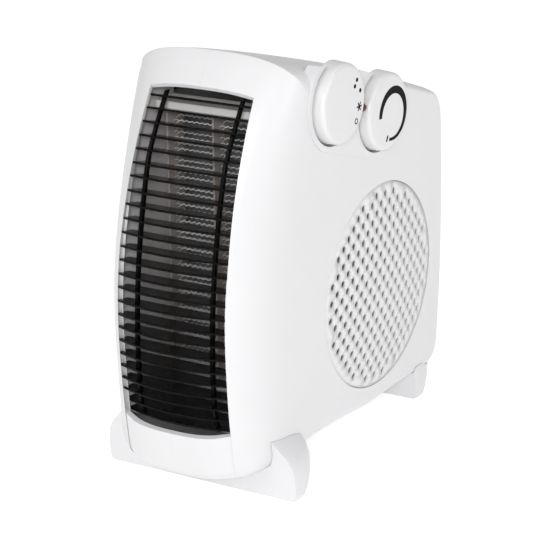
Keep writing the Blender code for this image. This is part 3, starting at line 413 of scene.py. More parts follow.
def prism_data(outline, low, high, axis="X"):
    """Points and faces of a flat outline pushed along an axis. The outline is (Y, Z), (X, Z) or (X, Y)."""
    def lift(point, height):
        a, b = point
        return {"X": (height, a, b), "Y": (a, height, b), "Z": (a, b, height)}[axis]

    count = len(outline)
    points = [lift(point, low) for point in outline] + [lift(point, high) for point in outline]
    faces = [list(range(count)), list(range(2 * count - 1, count - 1, -1))]
    for i in range(count):
        j = (i + 1) % count
        faces.append([i, j, count + j, count + i])
    return points, faces


def circle(radius, count, centre=(0.0, 0.0), turn=0.0):
    """A round outline of count points, the first of them turned by some radians."""
    step = 2 * math.pi / count
    return [
        (centre[0] + radius * math.cos(turn + i * step), centre[1] + radius * math.sin(turn + i * step))
        for i in range(count)
    ]


def turned_data(profile, segments, closed):
    """A profile of (radius, height) turned about X. It starts and ends on the axis unless it is closed."""
    points, rings = [], []
    for radius, height in profile:
        if radius == 0:
            rings.append([len(points)])
            points.append((height, 0.0, 0.0))
            continue
        rings.append(list(range(len(points), len(points) + segments)))
        points += [(height, a, b) for a, b in circle(radius, segments)]
    pairs = list(zip(rings, rings[1:]))
    if closed:
        pairs.append((rings[-1], rings[0]))
    faces = []
    for near, far in pairs:
        for i in range(segments):
            j = (i + 1) % segments
            corners = [near[i % len(near)], near[j % len(near)], far[j % len(far)], far[i % len(far)]]
            faces.append(list(dict.fromkeys(corners)))
    return points, faces


def turned(name, profile, segments, slot, place=None):
    """A smooth object turned about X from a profile that starts and ends on the axis."""
    points, faces = turned_data(profile, segments, False)
    return soften(new_object(name, points, faces, slot, place))


def joined(name, pieces, slot, place=None):
    """One mesh of several separate closed shapes, each given as (points, faces)."""
    points, faces = [], []
    for more_points, more_faces in pieces:
        start = len(points)
        points += more_points
        faces += [[start + index for index in face] for face in more_faces]
    return new_object(name, points, faces, slot, place)


def boolean(obj, other, operation):
    """Cuts with or adds a helper object, which the heater itself doesn't include."""
    other.hide_render = True
    other.display_type = "WIRE"
    modifier = obj.modifiers.new(operation.title(), "BOOLEAN")
    modifier.operation = operation
    modifier.solver = "EXACT"
    modifier.object = other
    return obj


def shifted(piece, x=0.0, y=0.0, z=0.0):
    """A piece, given as (points, faces), moved by some millimetres."""
    points, faces = piece
    return [(a + x, b + y, c + z) for a, b, c in points], faces


def placed(piece, place):
    """A piece, given as (points, faces), moved by a matrix in millimetres."""
    points, faces = piece
    return [tuple(place @ Vector(point)) for point in points], faces


# ---------------------------------------------------------------- casing shape


def side_x(y):
    """Half the casing's width at y, on its flat side."""
    return SIDE_AT_ORIGIN + y * math.tan(math.radians(SIDE_FLARE))


def front_y(z):
    """Where the casing's front is at a height, on the middle plane."""
    radius = NOSE_RADIUS_ABOVE if z > NOSE_Z else NOSE_RADIUS_BELOW
    return NOSE_Y + (z - NOSE_Z) ** 2 / (2 * radius)


def outlet_half(z):
    """Half the outlet's width at a height. It narrows a little towards the top."""
    return OUTLET_HALF_WIDTH - OUTLET_NARROWING * (min(max(z, OUTLET_LOW_Z), OUTLET_HIGH_Z) - OUTLET_LOW_Z)


def bend(a, m, b, t):
    """A point on the quadratic curve from a to b that is pulled towards m."""
    return tuple((1 - t) ** 2 * p + 2 * t * (1 - t) * q + t**2 * r for p, q, r in zip(a, m, b))


def meeting(a, b, c, d):
    """Where line a-b meets line c-d."""
    (ax, ay), (bx, by), (cx, cy), (dx, dy) = a, b, c, d
    bottom = (bx - ax) * (dy - cy) - (by - ay) * (dx - cx)
    t = ((cx - ax) * (dy - cy) - (cy - ay) * (dx - cx)) / bottom
    return ax + t * (bx - ax), ay + t * (by - ay)


def casing_outline(front_marks, along, round_corner):
    """The casing's (Y, Z) outline on the middle plane, counter-clockwise from the front's foot.

    front_marks are the heights at which the front edge has a point.
    """
    front = [(front_y(z), z) for z in sorted(front_marks, reverse=True)]
    edges = []
    for edge in (BOTTOM_EDGE, REAR_EDGE, TOP_EDGE):
        start, pull, end = reversed(edge)
        edges.append(([bend(start, pull, end, i / along) for i in range(along + 1)], pull, pull))
    high_slope = (FRONT_HIGH_Z - NOSE_Z) / NOSE_RADIUS_ABOVE
    low_slope = (FRONT_LOW_Z - NOSE_Z) / NOSE_RADIUS_BELOW
    near_high = (front[0][0] - TANGENT_RUN * high_slope, front[0][1] - TANGENT_RUN)
    near_low = (front[-1][0] + TANGENT_RUN * low_slope, front[-1][1] + TANGENT_RUN)
    edges.append((front, near_high, near_low))
    points = []
    for (edge, _, leaving), (following, entering, _) in zip(edges, edges[1:] + edges[:1]):
        points += edge
        corner = meeting(leaving, edge[-1], following[0], entering)
        points += [bend(edge[-1], corner, following[0], i / round_corner) for i in range(1, round_corner)]
    return points


def rounding(direction):
    """How far in from the outline the side curves, for a direction (Y, Z) out of the intake's centre."""
    y, z = direction
    front = max(-y, 0.0) ** 2
    rear = max(y, 0.0) ** 2
    top = max(z, 0.0) ** 2
    bottom = max(-z, 0.0) ** 2
    sides = front * ROUND_FRONT + rear * ROUND_REAR + top * ROUND_TOP + bottom * ROUND_BOTTOM
    return sides + 4 * front * top * ROUND_TOP_FRONT


def ring_at(outline, share, grow=0.0):
    """The casing's surface at a share of its half width, or at the outlet's edge if the share is None.

    grow moves the surface out by that much, or in if it's negative.
    """
    ring = []
    for y, z in outline:
        away = Vector((y - INTAKE_Y, z - INTAKE_Z))
        reach = away.length
        away.normalize()
        new_y = y
        # The outlet's edge has a set X, so its share follows from where the surface has curved to.
        for _ in range(1 if share is not None else OUTLET_EDGE_PASSES):
            part = outlet_half(z) / side_x(new_y) if share is None else share
            inset = rounding(away) * (1 - (1 - part**ROUND_POWER) ** (1 / ROUND_POWER))
            new_y = INTAKE_Y + away.x * (reach - inset + grow)
        new_z = INTAKE_Z + away.y * (reach - inset + grow)
        ring.append((outlet_half(z) if share is None else part * (side_x(new_y) + grow), new_y, new_z))
    return ring


def shell_rings(outline, shares, hole_radius, face_rings, grow=0.0):
    """Rings of points from the middle plane out to the side and in to a hole round the intake's centre."""
    rings = [ring_at(outline, share, grow) for share in shares]
    rim = rings[-1]
    for step in range(1, face_rings + 1):
        ring = []
        for _, y, z in rim:
            away = Vector((y - INTAKE_Y, z - INTAKE_Z))
            radius = away.length + (hole_radius - away.length) * step / face_rings
            away = away.normalized() * radius
            new_y = INTAKE_Y + away.x
            ring.append((side_x(new_y) + grow, new_y, INTAKE_Z + away.y))
        rings.append(ring)
    return rings


def outlet_marks():
    """Heights of the front edge's points: the outlet's ends, and evenly between and beyond them."""
    marks = [FRONT_LOW_Z, (FRONT_LOW_Z + OUTLET_LOW_Z) / 2]
    height = OUTLET_HIGH_Z - OUTLET_LOW_Z
    marks += [OUTLET_LOW_Z + height * i / OUTLET_STEPS for i in range(OUTLET_STEPS + 1)]
    marks.append(FRONT_HIGH_Z)
    return marks


def half_shell(name, side, hole_radius):
    """One half of the casing as a wall, with the outlet's half left out. side is 1 for +X and -1 for -X.

    Without a hole_radius its side is closed, and swells out slightly.
    """
    outline = casing_outline(outlet_marks(), EDGE_STEPS, CORNER_STEPS)
    count = len(outline)
    points = []
    for grow in (0.0, -WALL):
        rings = shell_rings(outline, SHARES, hole_radius or CLOSED_HUB_RADIUS, FACE_RINGS, grow)
        rings[0] = [(SEAM / 2, y, z) for _, y, z in rings[0]]
        if not hole_radius:
            for step in range(1, FACE_RINGS + 1):
                swell = SIDE_SWELL * math.sin(math.pi / 2 * step / FACE_RINGS) ** 2
                level = step - FACE_RINGS - 1
                rings[level] = [(x + swell, y, z) for x, y, z in rings[level]]
            rings.append([(side_x(INTAKE_Y) + SIDE_SWELL + grow, INTAKE_Y, INTAKE_Z)])
        points += [(side * x, y, z) for ring in rings for x, y, z in ring]
    inner = len(points) // 2
    faces = []
    levels = len(SHARES) + FACE_RINGS
    for level in reversed(range(levels - 1)):
        for i in range(count):
            j = (i + 1) % count
            low, high = sorted((outline[i][1], outline[j][1]))
            in_front = max(outline[i][0], outline[j][0]) < NOSE_Y + FRONT_REACH
            in_outlet = low >= OUTLET_LOW_Z - SAME_HEIGHT and high <= OUTLET_HIGH_Z + SAME_HEIGHT
            if level < OPENING_RING and in_front and in_outlet:
                continue
            a, b = level * count, (level + 1) * count
            faces.append([a + i, a + j, b + j, b + i])
    if not hole_radius:
        rim, centre = (levels - 1) * count, levels * count
        faces += [[rim + i, rim + (i + 1) % count, centre] for i in range(count)]
    edges = {(face[i - 1], face[i]) for face in faces for i in range(len(face))}
    rims = [[b, a, inner + a, inner + b] for a, b in edges if (b, a) not in edges]
    faces += [[inner + index for index in reversed(face)] for face in faces]
    faces += sorted(rims)
    used = sorted({index for face in faces for index in face})
    renumber = {old: new for new, old in enumerate(used)}
    faces = [[renumber[index] for index in face] for face in faces]
    return new_object(name, [points[old] for old in used], faces, "white_body")


def body_envelope(name, grow):
    """A helper with the casing's outer shape, grown by some millimetres. It isn't part of the heater."""
    outline = casing_outline(outlet_marks(), EDGE_STEPS, CORNER_STEPS)
    rings = shell_rings(outline, FIT_SHARES, FIT_HUB_RADIUS, 1, grow)
    count = len(outline)
    points = [point for ring in rings for point in ring]
    points += [(-x, y, z) for ring in rings[1:] for x, y, z in ring]
    levels = len(rings)
    faces = []
    for level in range(levels - 1):
        for i in range(count):
            j = (i + 1) % count
            a, b = level * count, (level + 1) * count
            faces.append([a + i, a + j, b + j, b + i])
            c = (levels + level - 1) * count if level else 0
            d = (levels + level) * count
            faces.append([c + j, c + i, d + i, d + j])
    right, left = (levels - 1) * count, (2 * levels - 2) * count
    faces.append([right + i for i in range(count)])
    faces.append([left + i for i in range(count)][::-1])
    obj = new_object(name, points, faces, None)
    obj.hide_render = True
    return obj


def side_frame(y, z, out=0.0):
    """A matrix whose X points out of the +X side there, with its origin a distance out of the surface."""
    turn = Matrix.Rotation(math.radians(-SIDE_FLARE), 4, "Z")
    start = Vector((side_x(y), y, z)) + turn @ Vector((out, 0, 0))
    return Matrix.Translation(start) @ turn


# ---------------------------------------------------------------- casing halves


def pod_outline():
    """The control pod's (Y, Z) outline: a stadium round both knobs, kept inside the casing's outline."""
    centre = Vector((INTAKE_Y, INTAKE_Z))
    limits = []
    for y, z in casing_outline(outlet_marks(), EDGE_STEPS, CORNER_STEPS):
        away = Vector((y, z)) - centre
        limits.append((math.atan2(away.y, away.x), away.length))

    def reach(point):
        """How far the casing's outline is from the intake's centre towards a point, and the way to it."""
        away = Vector(point) - centre
        angle = math.atan2(away.y, away.x)
        ordered = sorted(limits)
        for (first, near), (second, far) in zip(ordered, ordered[1:]):
            if first <= angle <= second:
                share = (angle - first) / (second - first)
                return near + (far - near) * share, away
        return ordered[0][1], away

    tilt = math.atan2(THERMOSTAT_Z - SWITCH_Z, THERMOSTAT_Y - SWITCH_Y)
    ends = (
        ((THERMOSTAT_Y, THERMOSTAT_Z), tilt - math.pi / 2),
        ((SWITCH_Y, SWITCH_Z), tilt + math.pi / 2),
    )
    stadium = []
    for (y, z), start in ends:
        for i in range(POD_STEPS + 1):
            angle = start + math.pi * i / POD_STEPS
            stadium.append((y + POD_RADIUS * math.cos(angle), z + POD_RADIUS * math.sin(angle)))
    kept = []
    for point in stadium:
        limit, away = reach(point)
        share = min(1.0, (limit - POD_MARGIN) / away.length)
        kept.append(tuple(centre + away * share))
    return kept


def pod_data(low, high):
    """The pod as a prism between two heights over the sloping side."""
    outline = pod_outline()
    count = len(outline)
    points = [(side_x(y) + low, y, z) for y, z in outline] + [(side_x(y) + high, y, z) for y, z in outline]
    faces = [list(range(count)), list(range(2 * count - 1, count - 1, -1))]
    for i in range(count):
        j = (i + 1) % count
        faces.append([i, j, count + j, count + i])
    return points, faces


def cylinder_x(radius, low, high, centre, segments):
    """A cylinder along X between two places, round a centre (Y, Z)."""
    return prism_data(circle(radius, segments, centre), low, high, "X")


def boss_data(side):
    """Screw bosses from the side wall to the middle plane."""
    low, high = sorted((side * BOSS_REACH, side * GAP))
    return [cylinder_x(BOSS_RADIUS, low, high, centre, SCREW_STEPS) for centre in BOSSES]


def bosses(name, side):
    """The screw bosses, ended inside the casing's wall."""
    obj = joined(name, boss_data(side), None)
    return boolean(obj, bpy.data.objects["boss_limit_cutter"], "INTERSECT")


def screw_hole_data(side):
    """Counterbored holes in the left half and blind pilot holes in the right half."""
    if side > 0:
        low, high = -CLEAR_OF_FLAT, SCREW_PILOT_DEPTH
        return [cylinder_x(SCREW_RADIUS, low, high, centre, SCREW_STEPS) for centre in BOSSES]
    profile = [(0, -SCREW_CUT_REACH), (SCREW_HEAD_RADIUS, -SCREW_CUT_REACH)]
    profile += [(SCREW_HEAD_RADIUS, -SCREW_HEAD_SEAT), (SCREW_RADIUS, -SCREW_HEAD_SEAT)]
    profile += [(SCREW_RADIUS, CLEAR_OF_FLAT), (0, CLEAR_OF_FLAT)]
    return [shifted(turned_data(profile, SCREW_STEPS, False), 0, y, z) for y, z in BOSSES]


def upright_hole(radius, low, high, x, y):
    """A cylinder along Z between two heights."""
    return shifted(prism_data(circle(radius, SCREW_STEPS), low, high, "Z"), x, y)


def foot_screw_places():
    """(X, Y) of the two screws of each foot."""
    rows = (FRONT_FOOT_Y + FOOT_SCREW_SETBACK, REAR_FOOT_Y + FOOT_SCREW_SETBACK)
    return [(x, y) for y in rows for x in (-FOOT_SCREW_X, FOOT_SCREW_X)]


def foot_screw_cutter(name, side):
    """Holes up through one side of the casing's floor for the foot screws."""
    places = [(x, y) for x, y in foot_screw_places() if x * side > 0]
    low, high = -CLEAR_OF_FLAT, FOOT_SCREW_TOP_Z
    return joined(name, [upright_hole(FOOT_SCREW_HOLE_RADIUS, low, high, x, y) for x, y in places], None)


def right_casing():
    """The half with the intake's opening, the control pod and its two recesses."""
    obj = half_shell("right_casing", 1, INTAKE_RADIUS - INTAKE_LIP)
    boolean(obj, joined("pod_addition", [pod_data(-RECESS_DEPTH - WALL, POD_PROUD)], None), "UNION")
    boolean(obj, bosses("right_boss_addition", 1), "UNION")
    cuts = screw_hole_data(1)
    opening = cylinder_x(INTAKE_RADIUS + GAP, -INTAKE_CUT_DEPTH, CLEAR, (0, 0), GRILLE_STEPS)
    cuts.append(placed(opening, side_frame(INTAKE_Y, INTAKE_Z)))
    for y, z in ((SWITCH_Y, SWITCH_Z), (THERMOSTAT_Y, THERMOSTAT_Z)):
        recess = cylinder_x(RECESS_RADIUS, -RECESS_DEPTH, CLEAR, (0, 0), KNOB_STEPS)
        shaft_hole = cylinder_x(SHAFT_RADIUS + SHAFT_CLEARANCE, -CLEAR, -RECESS_DEPTH, (0, 0), SHAFT_STEPS)
        cuts += [placed(piece, side_frame(y, z)) for piece in (recess, shaft_hole)]
    boolean(obj, joined("right_casing_cutter", cuts, None), "DIFFERENCE")
    middle = side_frame((SWITCH_Y + THERMOSTAT_Y) / 2, (SWITCH_Z + THERMOSTAT_Z) / 2)
    lens_hole = placed(cylinder_x(LENS_RADIUS + GAP, -CLEAR, CLEAR, (0, 0), SCREW_STEPS), middle)
    boolean(obj, joined("lens_hole_cutter", [lens_hole], None), "DIFFERENCE")
    boolean(obj, foot_screw_cutter("right_foot_screw_cutter", 1), "DIFFERENCE")
    return soften(obj, CASING_SHARP_ANGLE)


def left_casing():
    """The closed half, with the screws' counterbores and the cord gland's hole."""
    obj = half_shell("left_casing", -1, None)
    boolean(obj, bosses("left_boss_addition", -1), "UNION")
    boolean(obj, joined("left_casing_cutter", screw_hole_data(-1), None), "DIFFERENCE")
    gland_edge = circle(GLAND_RADIUS + GAP, GLAND_STEPS, (GLAND_X, GLAND_Z))
    gland_hole = prism_data(gland_edge, GLAND_CUT_LOW_Y, GLAND_CUT_HIGH_Y, "Y")
    boolean(obj, joined("gland_cutter", [gland_hole], None), "DIFFERENCE")
    boolean(obj, foot_screw_cutter("left_foot_screw_cutter", -1), "DIFFERENCE")
    return soften(obj, CASING_SHARP_ANGLE)


# ---------------------------------------------------------------- intake grille


def lattice():
    """(Y, Z) of the intake's holes from its centre: staggered rows inside a circle, turned a little."""
    tilt = math.radians(INTAKE_TILT)
    half = INTAKE_PITCH / 2
    reach = int(INTAKE_FIELD_RADIUS / half) + 1
    for column in range(-reach, reach + 1):
        for row in range(-reach, reach + 1):
            u, v = column * half, row * half
            if (column + row) % 2 and math.hypot(u, v) < INTAKE_FIELD_RADIUS:
                yield u * math.cos(tilt) - v * math.sin(tilt), u * math.sin(tilt) + v * math.cos(tilt)


def intake_grille():
    """A domed disc with a staggered lattice of holes that fits the casing's opening."""
    disc = bmesh.new()
    edges = []
    turn = math.radians(INTAKE_TILT)
    loops = [circle(INTAKE_RADIUS, GRILLE_STEPS)]
    loops += [circle(INTAKE_HOLE_RADIUS, HOLE_STEPS, centre, turn) for centre in lattice()]
    for loop in loops:
        verts = [disc.verts.new((0, y * MM, z * MM)) for y, z in loop]
        edges += [disc.edges.new(pair) for pair in zip(verts, verts[1:] + verts[:1])]
    bmesh.ops.triangle_fill(disc, use_beauty=True, edges=edges)
    for vert in disc.verts:
        share = math.hypot(vert.co.y, vert.co.z) / (INTAKE_RADIUS * MM)
        vert.co.x = INTAKE_DOME * MM * (1 - share**2)
    bmesh.ops.recalc_face_normals(disc, faces=disc.faces)
    if sum(face.normal.x for face in disc.faces) < 0:
        bmesh.ops.reverse_faces(disc, faces=disc.faces)
    mesh = bpy.data.meshes.new("intake_grille")
    disc.to_mesh(mesh)
    disc.free()
    place = side_frame(INTAKE_Y, INTAKE_Z, -GRILLE_SUNK)
    place.translation *= MM
    mesh.transform(place)
    mesh.materials.append(material("white_body"))
    obj = bpy.data.objects.new("intake_grille", mesh)
    bpy.context.collection.objects.link(obj)
    modifier = obj.modifiers.new("Thickness", "SOLIDIFY")
    modifier.thickness = GRILLE_THICKNESS * MM
    modifier.offset = -1.0
    modifier.use_rim = True
    return soften(obj)


# ---------------------------------------------------------------- outlet grille


def slat_front_y(z):
    """Where the slats' foremost points are at a height: flush with the casing, and set back at both ends."""
    above = max(0.0, (z - SLAT_RECESS_TOP_Z) / (SLAT_HIGH_Z - SLAT_RECESS_TOP_Z)) ** 2
    below = max(0.0, (SLAT_RECESS_BOTTOM_Z - z) / (SLAT_RECESS_BOTTOM_Z - SLAT_LOW_Z)) ** 2
    return front_y(z) + SLAT_RECESS_TOP * above + SLAT_RECESS_BOTTOM * below


def slat_bow(z):
    """How far back the slats' ends are from their middles, which keeps them beside the outlet's edge."""
    _, edge_y, _ = ring_at([(front_y(z), z)], None)[0]
    return edge_y - front_y(z)


def slat_fronts():
    """(Y, Z) of each slat's foremost point, equally spaced along their curve."""
    height = SLAT_HIGH_Z - SLAT_LOW_Z
    curve = [SLAT_LOW_Z + height * i / SLAT_CURVE_STEPS for i in range(SLAT_CURVE_STEPS + 1)]
    lengths = [0.0]
    for low, high in zip(curve, curve[1:]):
        lengths.append(lengths[-1] + math.hypot(high - low, slat_front_y(high) - slat_front_y(low)))
    fronts = []
    for number in range(SLAT_COUNT):
        wanted = lengths[-1] * number / (SLAT_COUNT - 1)
        index = min(range(len(lengths)), key=lambda i: abs(lengths[i] - wanted))
        fronts.append((slat_front_y(curve[index]), curve[index]))
    return fronts


def slat_data(front, number):
    """A thin plate with an arched front edge, tipped up towards the front."""
    half = outlet_half(front[1]) - SLAT_END_GAP
    bow = slat_bow(front[1])
    depth = min(SLAT_DEPTH, SLAT_REAR_LIMIT_Y - front[0])
    outline = []
    for i in range(SLAT_STEPS + 1):
        x = -half + 2 * half * i / SLAT_STEPS
        outline.append((x, bow * (x / half) ** 2))
    outline += [(half, depth), (-half, depth)]
    piece = prism_data(outline, -SLAT_THICKNESS / 2, SLAT_THICKNESS / 2, "Z")
    tilt = SLAT_TILT_LOW + (SLAT_TILT_HIGH - SLAT_TILT_LOW) * number / (SLAT_COUNT - 1)
    turn = Matrix.Rotation(math.radians(-tilt), 4, "X")
    return placed(piece, Matrix.Translation(Vector((0, front[0], front[1]))) @ turn)


def rib_data(x):
    """An upright plate behind the slats' front edges."""
    low = SLAT_LOW_Z - RIB_BELOW_SLATS
    height = SLAT_HIGH_Z - SLAT_LOW_Z + RIB_EXTRA_HEIGHT
    heights = [low + height * i / RIB_STEPS for i in range(RIB_STEPS + 1)]
    front = []
    for z in heights:
        behind = RIB_FRONT_Y + (z - RIB_FRONT_Z) ** 2 / (2 * RIB_RADIUS)
        front.append((max(behind, slat_front_y(z) + RIB_BEHIND_SLATS), z))
    outline = front + [(y + RIB_DEPTH, z) for y, z in reversed(front)]
    return prism_data(outline, x - RIB_THICKNESS / 2, x + RIB_THICKNESS / 2, "X")


def outlet_grille():
    """Arched slats across two ribs, each with a slightly rounded edge."""
    slats = [slat_data(front, number) for number, front in enumerate(slat_fronts())]
    obj = joined("slats_and_ribs", [rib_data(-RIB_X), rib_data(RIB_X), *slats], "black_slats")
    rounded = obj.modifiers.new("Rounded edges", "BEVEL")
    rounded.width = SLAT_EDGE_RADIUS * MM
    rounded.segments = 2
    return soften(obj, SLAT_SHARP_ANGLE)


# ---------------------------------------------------------------- feet and knobs


def foot(name, front, wide):
    """A bar with ends that rise beside the casing, cut to sit against it.

    front is its lower front edge's Y. A wide foot's ends stay outside the casing's wide rear.
    """
    # Height, the end's distance in from the half length on a narrow and on a wide foot, front and rear.
    sections = [
        (0.0, 2.0, 1.6, 0.3, 10.0),
        (1.4, 0.5, 0.0, -0.2, 13.0),
        (5.0, 0.0, -0.3, -0.5, 15.5),
        (12.0, 0.0, -0.2, -1.0, 18.2),
        (20.0, 1.4, 0.6, -2.0, 20.4),
        (25.0, 4.1, 3.1, -3.0, 21.4),
        (29.0, 7.6, 6.6, -3.8, 21.9),
        (33.0, 11.6, 10.6, -4.5, 22.3),
        (40.0, 17.6, 16.6, -5.4, 22.8),
    ]
    points, faces = [], []
    for z, narrow_inset, wide_inset, ahead, behind in sections:
        reach = FOOT_HALF_LENGTH - (wide_inset if wide else narrow_inset)
        for sign, steps in ((1, range(FOOT_STEPS + 1)), (-1, range(FOOT_STEPS, -1, -1))):
            for i in steps:
                # The ends are pinched in near their front and rear edges, which rounds them.
                share = i / FOOT_STEPS
                pinch = FOOT_FRONT_PINCH * (1 - share) ** 8 + FOOT_REAR_PINCH * share**5
                points.append((sign * (reach - pinch), front + ahead + (behind - ahead) * share, z))
    count = 2 * (FOOT_STEPS + 1)
    for level in range(len(sections) - 1):
        for i in range(count):
            j = (i + 1) % count
            a, b = level * count, (level + 1) * count
            faces.append([a + i, a + j, b + j, b + i])
    faces.append(list(range(count))[::-1])
    last = (len(sections) - 1) * count
    faces.append([last + i for i in range(count)])
    obj = new_object(name, points, faces, "white_body")
    boolean(obj, bpy.data.objects["foot_fit_cutter"], "DIFFERENCE")
    cuts = []
    for x, y in foot_screw_places():
        if y == front + FOOT_SCREW_SETBACK:
            cuts.append(upright_hole(FOOT_SCREW_HEAD_RADIUS, -CLEAR_OF_FLAT, FOOT_SCREW_SEAT_Z, x, y))
            cuts.append(upright_hole(FOOT_SCREW_HOLE_RADIUS, FOOT_SCREW_SEAT_Z, FOOT_SCREW_TOP_Z, x, y))
    boolean(obj, joined(name + "_screw_cutter", cuts, None), "DIFFERENCE")
    return soften(obj)


def knob(name, y, z):
    """A thick dial with a rounded rim, whose back is open round its shaft."""
    rim_radius, rim_height = KNOB_RADIUS - KNOB_RIM_RADIUS, KNOB_PROUD - KNOB_RIM_RADIUS
    profile = [(0, KNOB_PROUD)]
    for i in range(RIM_STEPS + 1):
        angle = math.pi / 2 * i / RIM_STEPS
        radius = rim_radius + KNOB_RIM_RADIUS * math.sin(angle)
        profile.append((radius, rim_height + KNOB_RIM_RADIUS * math.cos(angle)))
    bore, face_back = SHAFT_RADIUS + GAP, KNOB_PROUD - KNOB_FACE_THICKNESS
    skirt = KNOB_RADIUS + KNOB_FLARE
    profile += [(skirt, -KNOB_SUNK + KNOB_CHAMFER), (skirt - KNOB_CHAMFER, -KNOB_SUNK)]
    profile += [(bore, -KNOB_SUNK), (bore, face_back), (0, face_back)]
    return turned(name, profile, KNOB_STEPS, "knob_plastic", side_frame(y, z))


def ink(name, outlines, y, z):
    """Printed shapes on a knob's face, from outlines in the face's own (along, up) millimetres."""
    low, high = KNOB_PROUD - INK_SUNK, KNOB_PROUD + INK_THICKNESS
    return joined(name, [prism_data(outline, low, high) for outline in outlines], "ink", side_frame(y, z))


def bar(middle, length, width, angle):
    """A rectangle's outline, turned by an angle."""
    c, s = math.cos(math.radians(angle)), math.sin(math.radians(angle))
    corners = ((-1, -1), (1, -1), (1, 1), (-1, 1))
    halves = [(a * length / 2, b * width / 2) for a, b in corners]
    return [(middle[0] + a * c - b * s, middle[1] + a * s + b * c) for a, b in halves]


def switch_marks():
    """Two dots for full heat, one for half, a fan sign for cool air, and a ring for off."""
    outlines = [circle(DOT_RADIUS, DOT_STEPS, centre) for centre in DOTS]
    outlines += [bar(FAN_SIGN, FAN_SIGN_LENGTH, FAN_SIGN_WIDTH, angle) for angle in (0.0, 60.0, 120.0)]
    obj = ink("switch_marks", outlines, SWITCH_Y, SWITCH_Z)
    foot_edge = [(OFF_RING_INNER, 0.0), (OFF_RING_OUTER, 0.0)]
    top_edge = [(OFF_RING_OUTER, INK_THICKNESS), (OFF_RING_INNER, INK_THICKNESS)]
    ring = shifted(turned_data(foot_edge + top_edge, OFF_RING_STEPS, True), 0, *OFF_RING)
    place = side_frame(SWITCH_Y, SWITCH_Z, KNOB_PROUD - OFF_RING_SUNK)
    return obj, joined("switch_ring_mark", [ring], "ink", place)


def thermostat_marks():
    """A band that swells over its first half and thins towards its end, then a short dash."""
    outer, inner = [], []
    for i in range(ARC_STEPS + 1):
        share = i / ARC_STEPS
        angle = math.radians(ARC_START + (ARC_END - ARC_START) * share)
        swelling = math.sin(math.pi * min(1.0, share * ARC_SWELL_SPAN + ARC_SWELL_START))
        width = ARC_WIDTH + ARC_SWELL * swelling**ARC_SWELL_POWER
        for line, radius in ((outer, ARC_RADIUS + width / 2), (inner, ARC_RADIUS - width / 2)):
            line.append((ARC_CENTRE[0] + radius * math.cos(angle), ARC_CENTRE[1] + radius * math.sin(angle)))
    band = outer + inner[::-1]
    dash = bar(DASH, DASH_LENGTH, DASH_WIDTH, DASH_ANGLE)
    return ink("thermostat_marks", [band, dash], THERMOSTAT_Y, THERMOSTAT_Z)


# ---------------------------------------------------------------- heater


def wire(name, route, radius, slot):
    """A thin bent wire along straight stretches."""
    curve = bpy.data.curves.new(name, "CURVE")
    curve.dimensions = "3D"
    curve.bevel_depth = radius * MM
    curve.bevel_resolution = 1
    curve.use_fill_caps = True
    spline = curve.splines.new("POLY")
    spline.points.add(len(route) - 1)
    for point, place in zip(spline.points, route):
        point.co = (*(Vector(place) * MM), 1.0)
    curve.materials.append(material(slot))
    obj = bpy.data.objects.new(name, curve)
    bpy.context.collection.objects.link(obj)
    return obj


def heating_element(name, low_x, high_x):
    """One crimped wire that runs back and forth across its half of the heater, from bottom to top."""
    route = []
    step = (HEATER_HIGH_Z - HEATER_LOW_Z - 2 * ELEMENT_MARGIN) / (ELEMENT_ROWS - 1)
    for row in range(ELEMENT_ROWS):
        z = HEATER_LOW_Z + ELEMENT_MARGIN + step * row
        y = BOARD_FRONT_Y + (ELEMENT_FRONT_ROW if row % 2 else ELEMENT_REAR_ROW)
        for i in range(ELEMENT_CRIMPS + 1):
            share = i / ELEMENT_CRIMPS if row % 2 == 0 else 1 - i / ELEMENT_CRIMPS
            lift = ELEMENT_CRIMP_LIFT if i % 2 else -ELEMENT_CRIMP_LIFT
            route.append((low_x + (high_x - low_x) * share, y + ELEMENT_CRIMP_SLANT * lift, z + lift))
    return wire(name, route, ELEMENT_WIRE_RADIUS, "heating_wire")


# ---------------------------------------------------------------- scene


def studio():
    """A plain pale floor with a weak glow, a soft sky and the lamps."""
    bpy.ops.mesh.primitive_plane_add(size=FLOOR_SIZE, location=(0, 0, -FLOOR_DROP))
    floor = bpy.context.object
    floor.name = "floor"
    paint = bpy.data.materials.new("floor_paint")
    paint.use_nodes = True
    shader = paint.node_tree.nodes["Principled BSDF"]
    shader.inputs["Base Color"].default_value = (FLOOR_SHADE, FLOOR_SHADE, FLOOR_SHADE, 1.0)
    shader.inputs["Roughness"].default_value = FLOOR_ROUGHNESS
    shader.inputs["Emission Color"].default_value = (1.0, 1.0, 1.0, 1.0)
    shader.inputs["Emission Strength"].default_value = FLOOR_GLOW
    floor.data.materials.append(paint)
    world = bpy.data.worlds.new("sky")
    bpy.context.scene.world = world
    world.use_nodes = True
    background = world.node_tree.nodes["Background"]
    background.inputs["Color"].default_value = (1.0, 1.0, 1.0, 1.0)
    background.inputs["Strength"].default_value = SKY_STRENGTH
    for name, place, size, power in LAMPS:
        light = bpy.data.lights.new(name, "AREA")
        light.shape = "DISK"
        light.size = size
        light.energy = power
        lamp = bpy.data.objects.new(name, light)
        bpy.context.scene.collection.objects.link(lamp)
        lamp.location = place
        lamp.rotation_euler = (LAMP_TARGET - lamp.location).to_track_quat("-Z", "Y").to_euler()


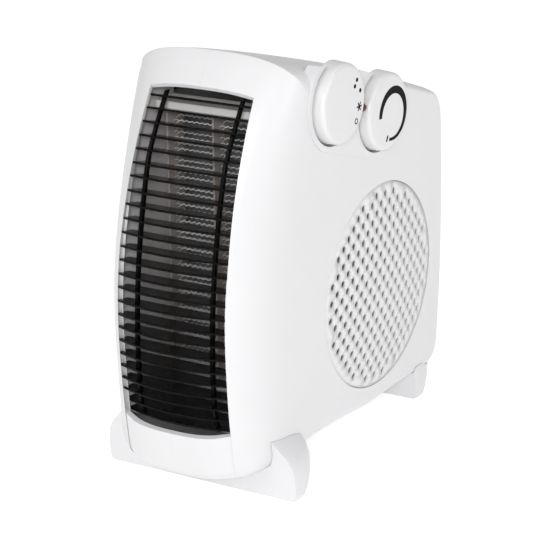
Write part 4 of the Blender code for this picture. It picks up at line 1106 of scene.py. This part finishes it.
def camera():
    """The camera, from its direction, pitch and roll."""
    azimuth, pitch, roll = (math.radians(v) for v in (CAMERA_AZIMUTH, CAMERA_PITCH, CAMERA_ROLL))
    level = Vector((math.cos(azimuth), math.sin(azimuth), 0))
    flat = math.cos(pitch)
    ahead = Vector((-math.sin(azimuth) * flat, math.cos(azimuth) * flat, -math.sin(pitch)))
    upright = level.cross(ahead)
    right = math.cos(roll) * level + math.sin(roll) * upright
    up = math.cos(roll) * upright - math.sin(roll) * level
    data = bpy.data.cameras.new("camera")
    data.lens = CAMERA_LENS
    data.sensor_width = CAMERA_SENSOR
    obj = bpy.data.objects.new("camera", data)
    bpy.context.scene.collection.objects.link(obj)
    turn = Matrix((right, up, -ahead)).transposed().to_4x4()
    obj.matrix_world = Matrix.Translation(CAMERA_PLACE) @ turn
    bpy.context.scene.camera = obj


def stand_in(obj, body, slot, *nodes):
    """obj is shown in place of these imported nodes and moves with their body."""
    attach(obj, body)
    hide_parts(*nodes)


def printed(obj, body):
    """obj is ink that turns with its body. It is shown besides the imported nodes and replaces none."""
    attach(obj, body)


def main():
    """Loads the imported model, gives it its finishes and puts the finer pieces in place."""
    for obj in list(bpy.data.objects):
        bpy.data.objects.remove(obj)
    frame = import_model()
    for subpart in frame["record"]["subparts"]:
        node = frame["nodes"][subpart["node"]]
        node.data.materials.clear()
        node.data.materials.append(material(subpart["material_slot"]))
    body_envelope("foot_fit_cutter", GAP)
    body_envelope("boss_limit_cutter", -BOSS_SUNK)
    stand_in(left_casing(), "housing", "white_body", "left_casing")
    stand_in(right_casing(), "housing", "white_body", "right_casing")
    stand_in(intake_grille(), "housing", "white_body", "intake_grille")
    stand_in(outlet_grille(), "housing", "black_slats", "outlet_grille")
    stand_in(foot("front_foot_look", FRONT_FOOT_Y, False), "housing", "white_body", "front_foot")
    stand_in(foot("rear_foot_look", REAR_FOOT_Y, True), "housing", "white_body", "rear_foot")
    switch_knob = knob("switch_knob_look", SWITCH_Y, SWITCH_Z)
    stand_in(switch_knob, "switch_dial", "knob_plastic", "switch_knob")
    thermostat_knob = knob("thermostat_knob_look", THERMOSTAT_Y, THERMOSTAT_Z)
    stand_in(thermostat_knob, "thermostat_dial", "knob_plastic", "thermostat_knob")
    for mark in switch_marks():
        printed(mark, "switch_dial")
    printed(thermostat_marks(), "thermostat_dial")
    left_wire = heating_element("left_element_look", -ELEMENT_OUTER_X, -ELEMENT_INNER_X)
    stand_in(left_wire, "housing", "heating_wire", "left_heating_element")
    right_wire = heating_element("right_element_look", ELEMENT_INNER_X, ELEMENT_OUTER_X)
    stand_in(right_wire, "housing", "heating_wire", "right_heating_element")
    studio()
    camera()
    bpy.context.scene.view_settings.view_transform = "Standard"


main()
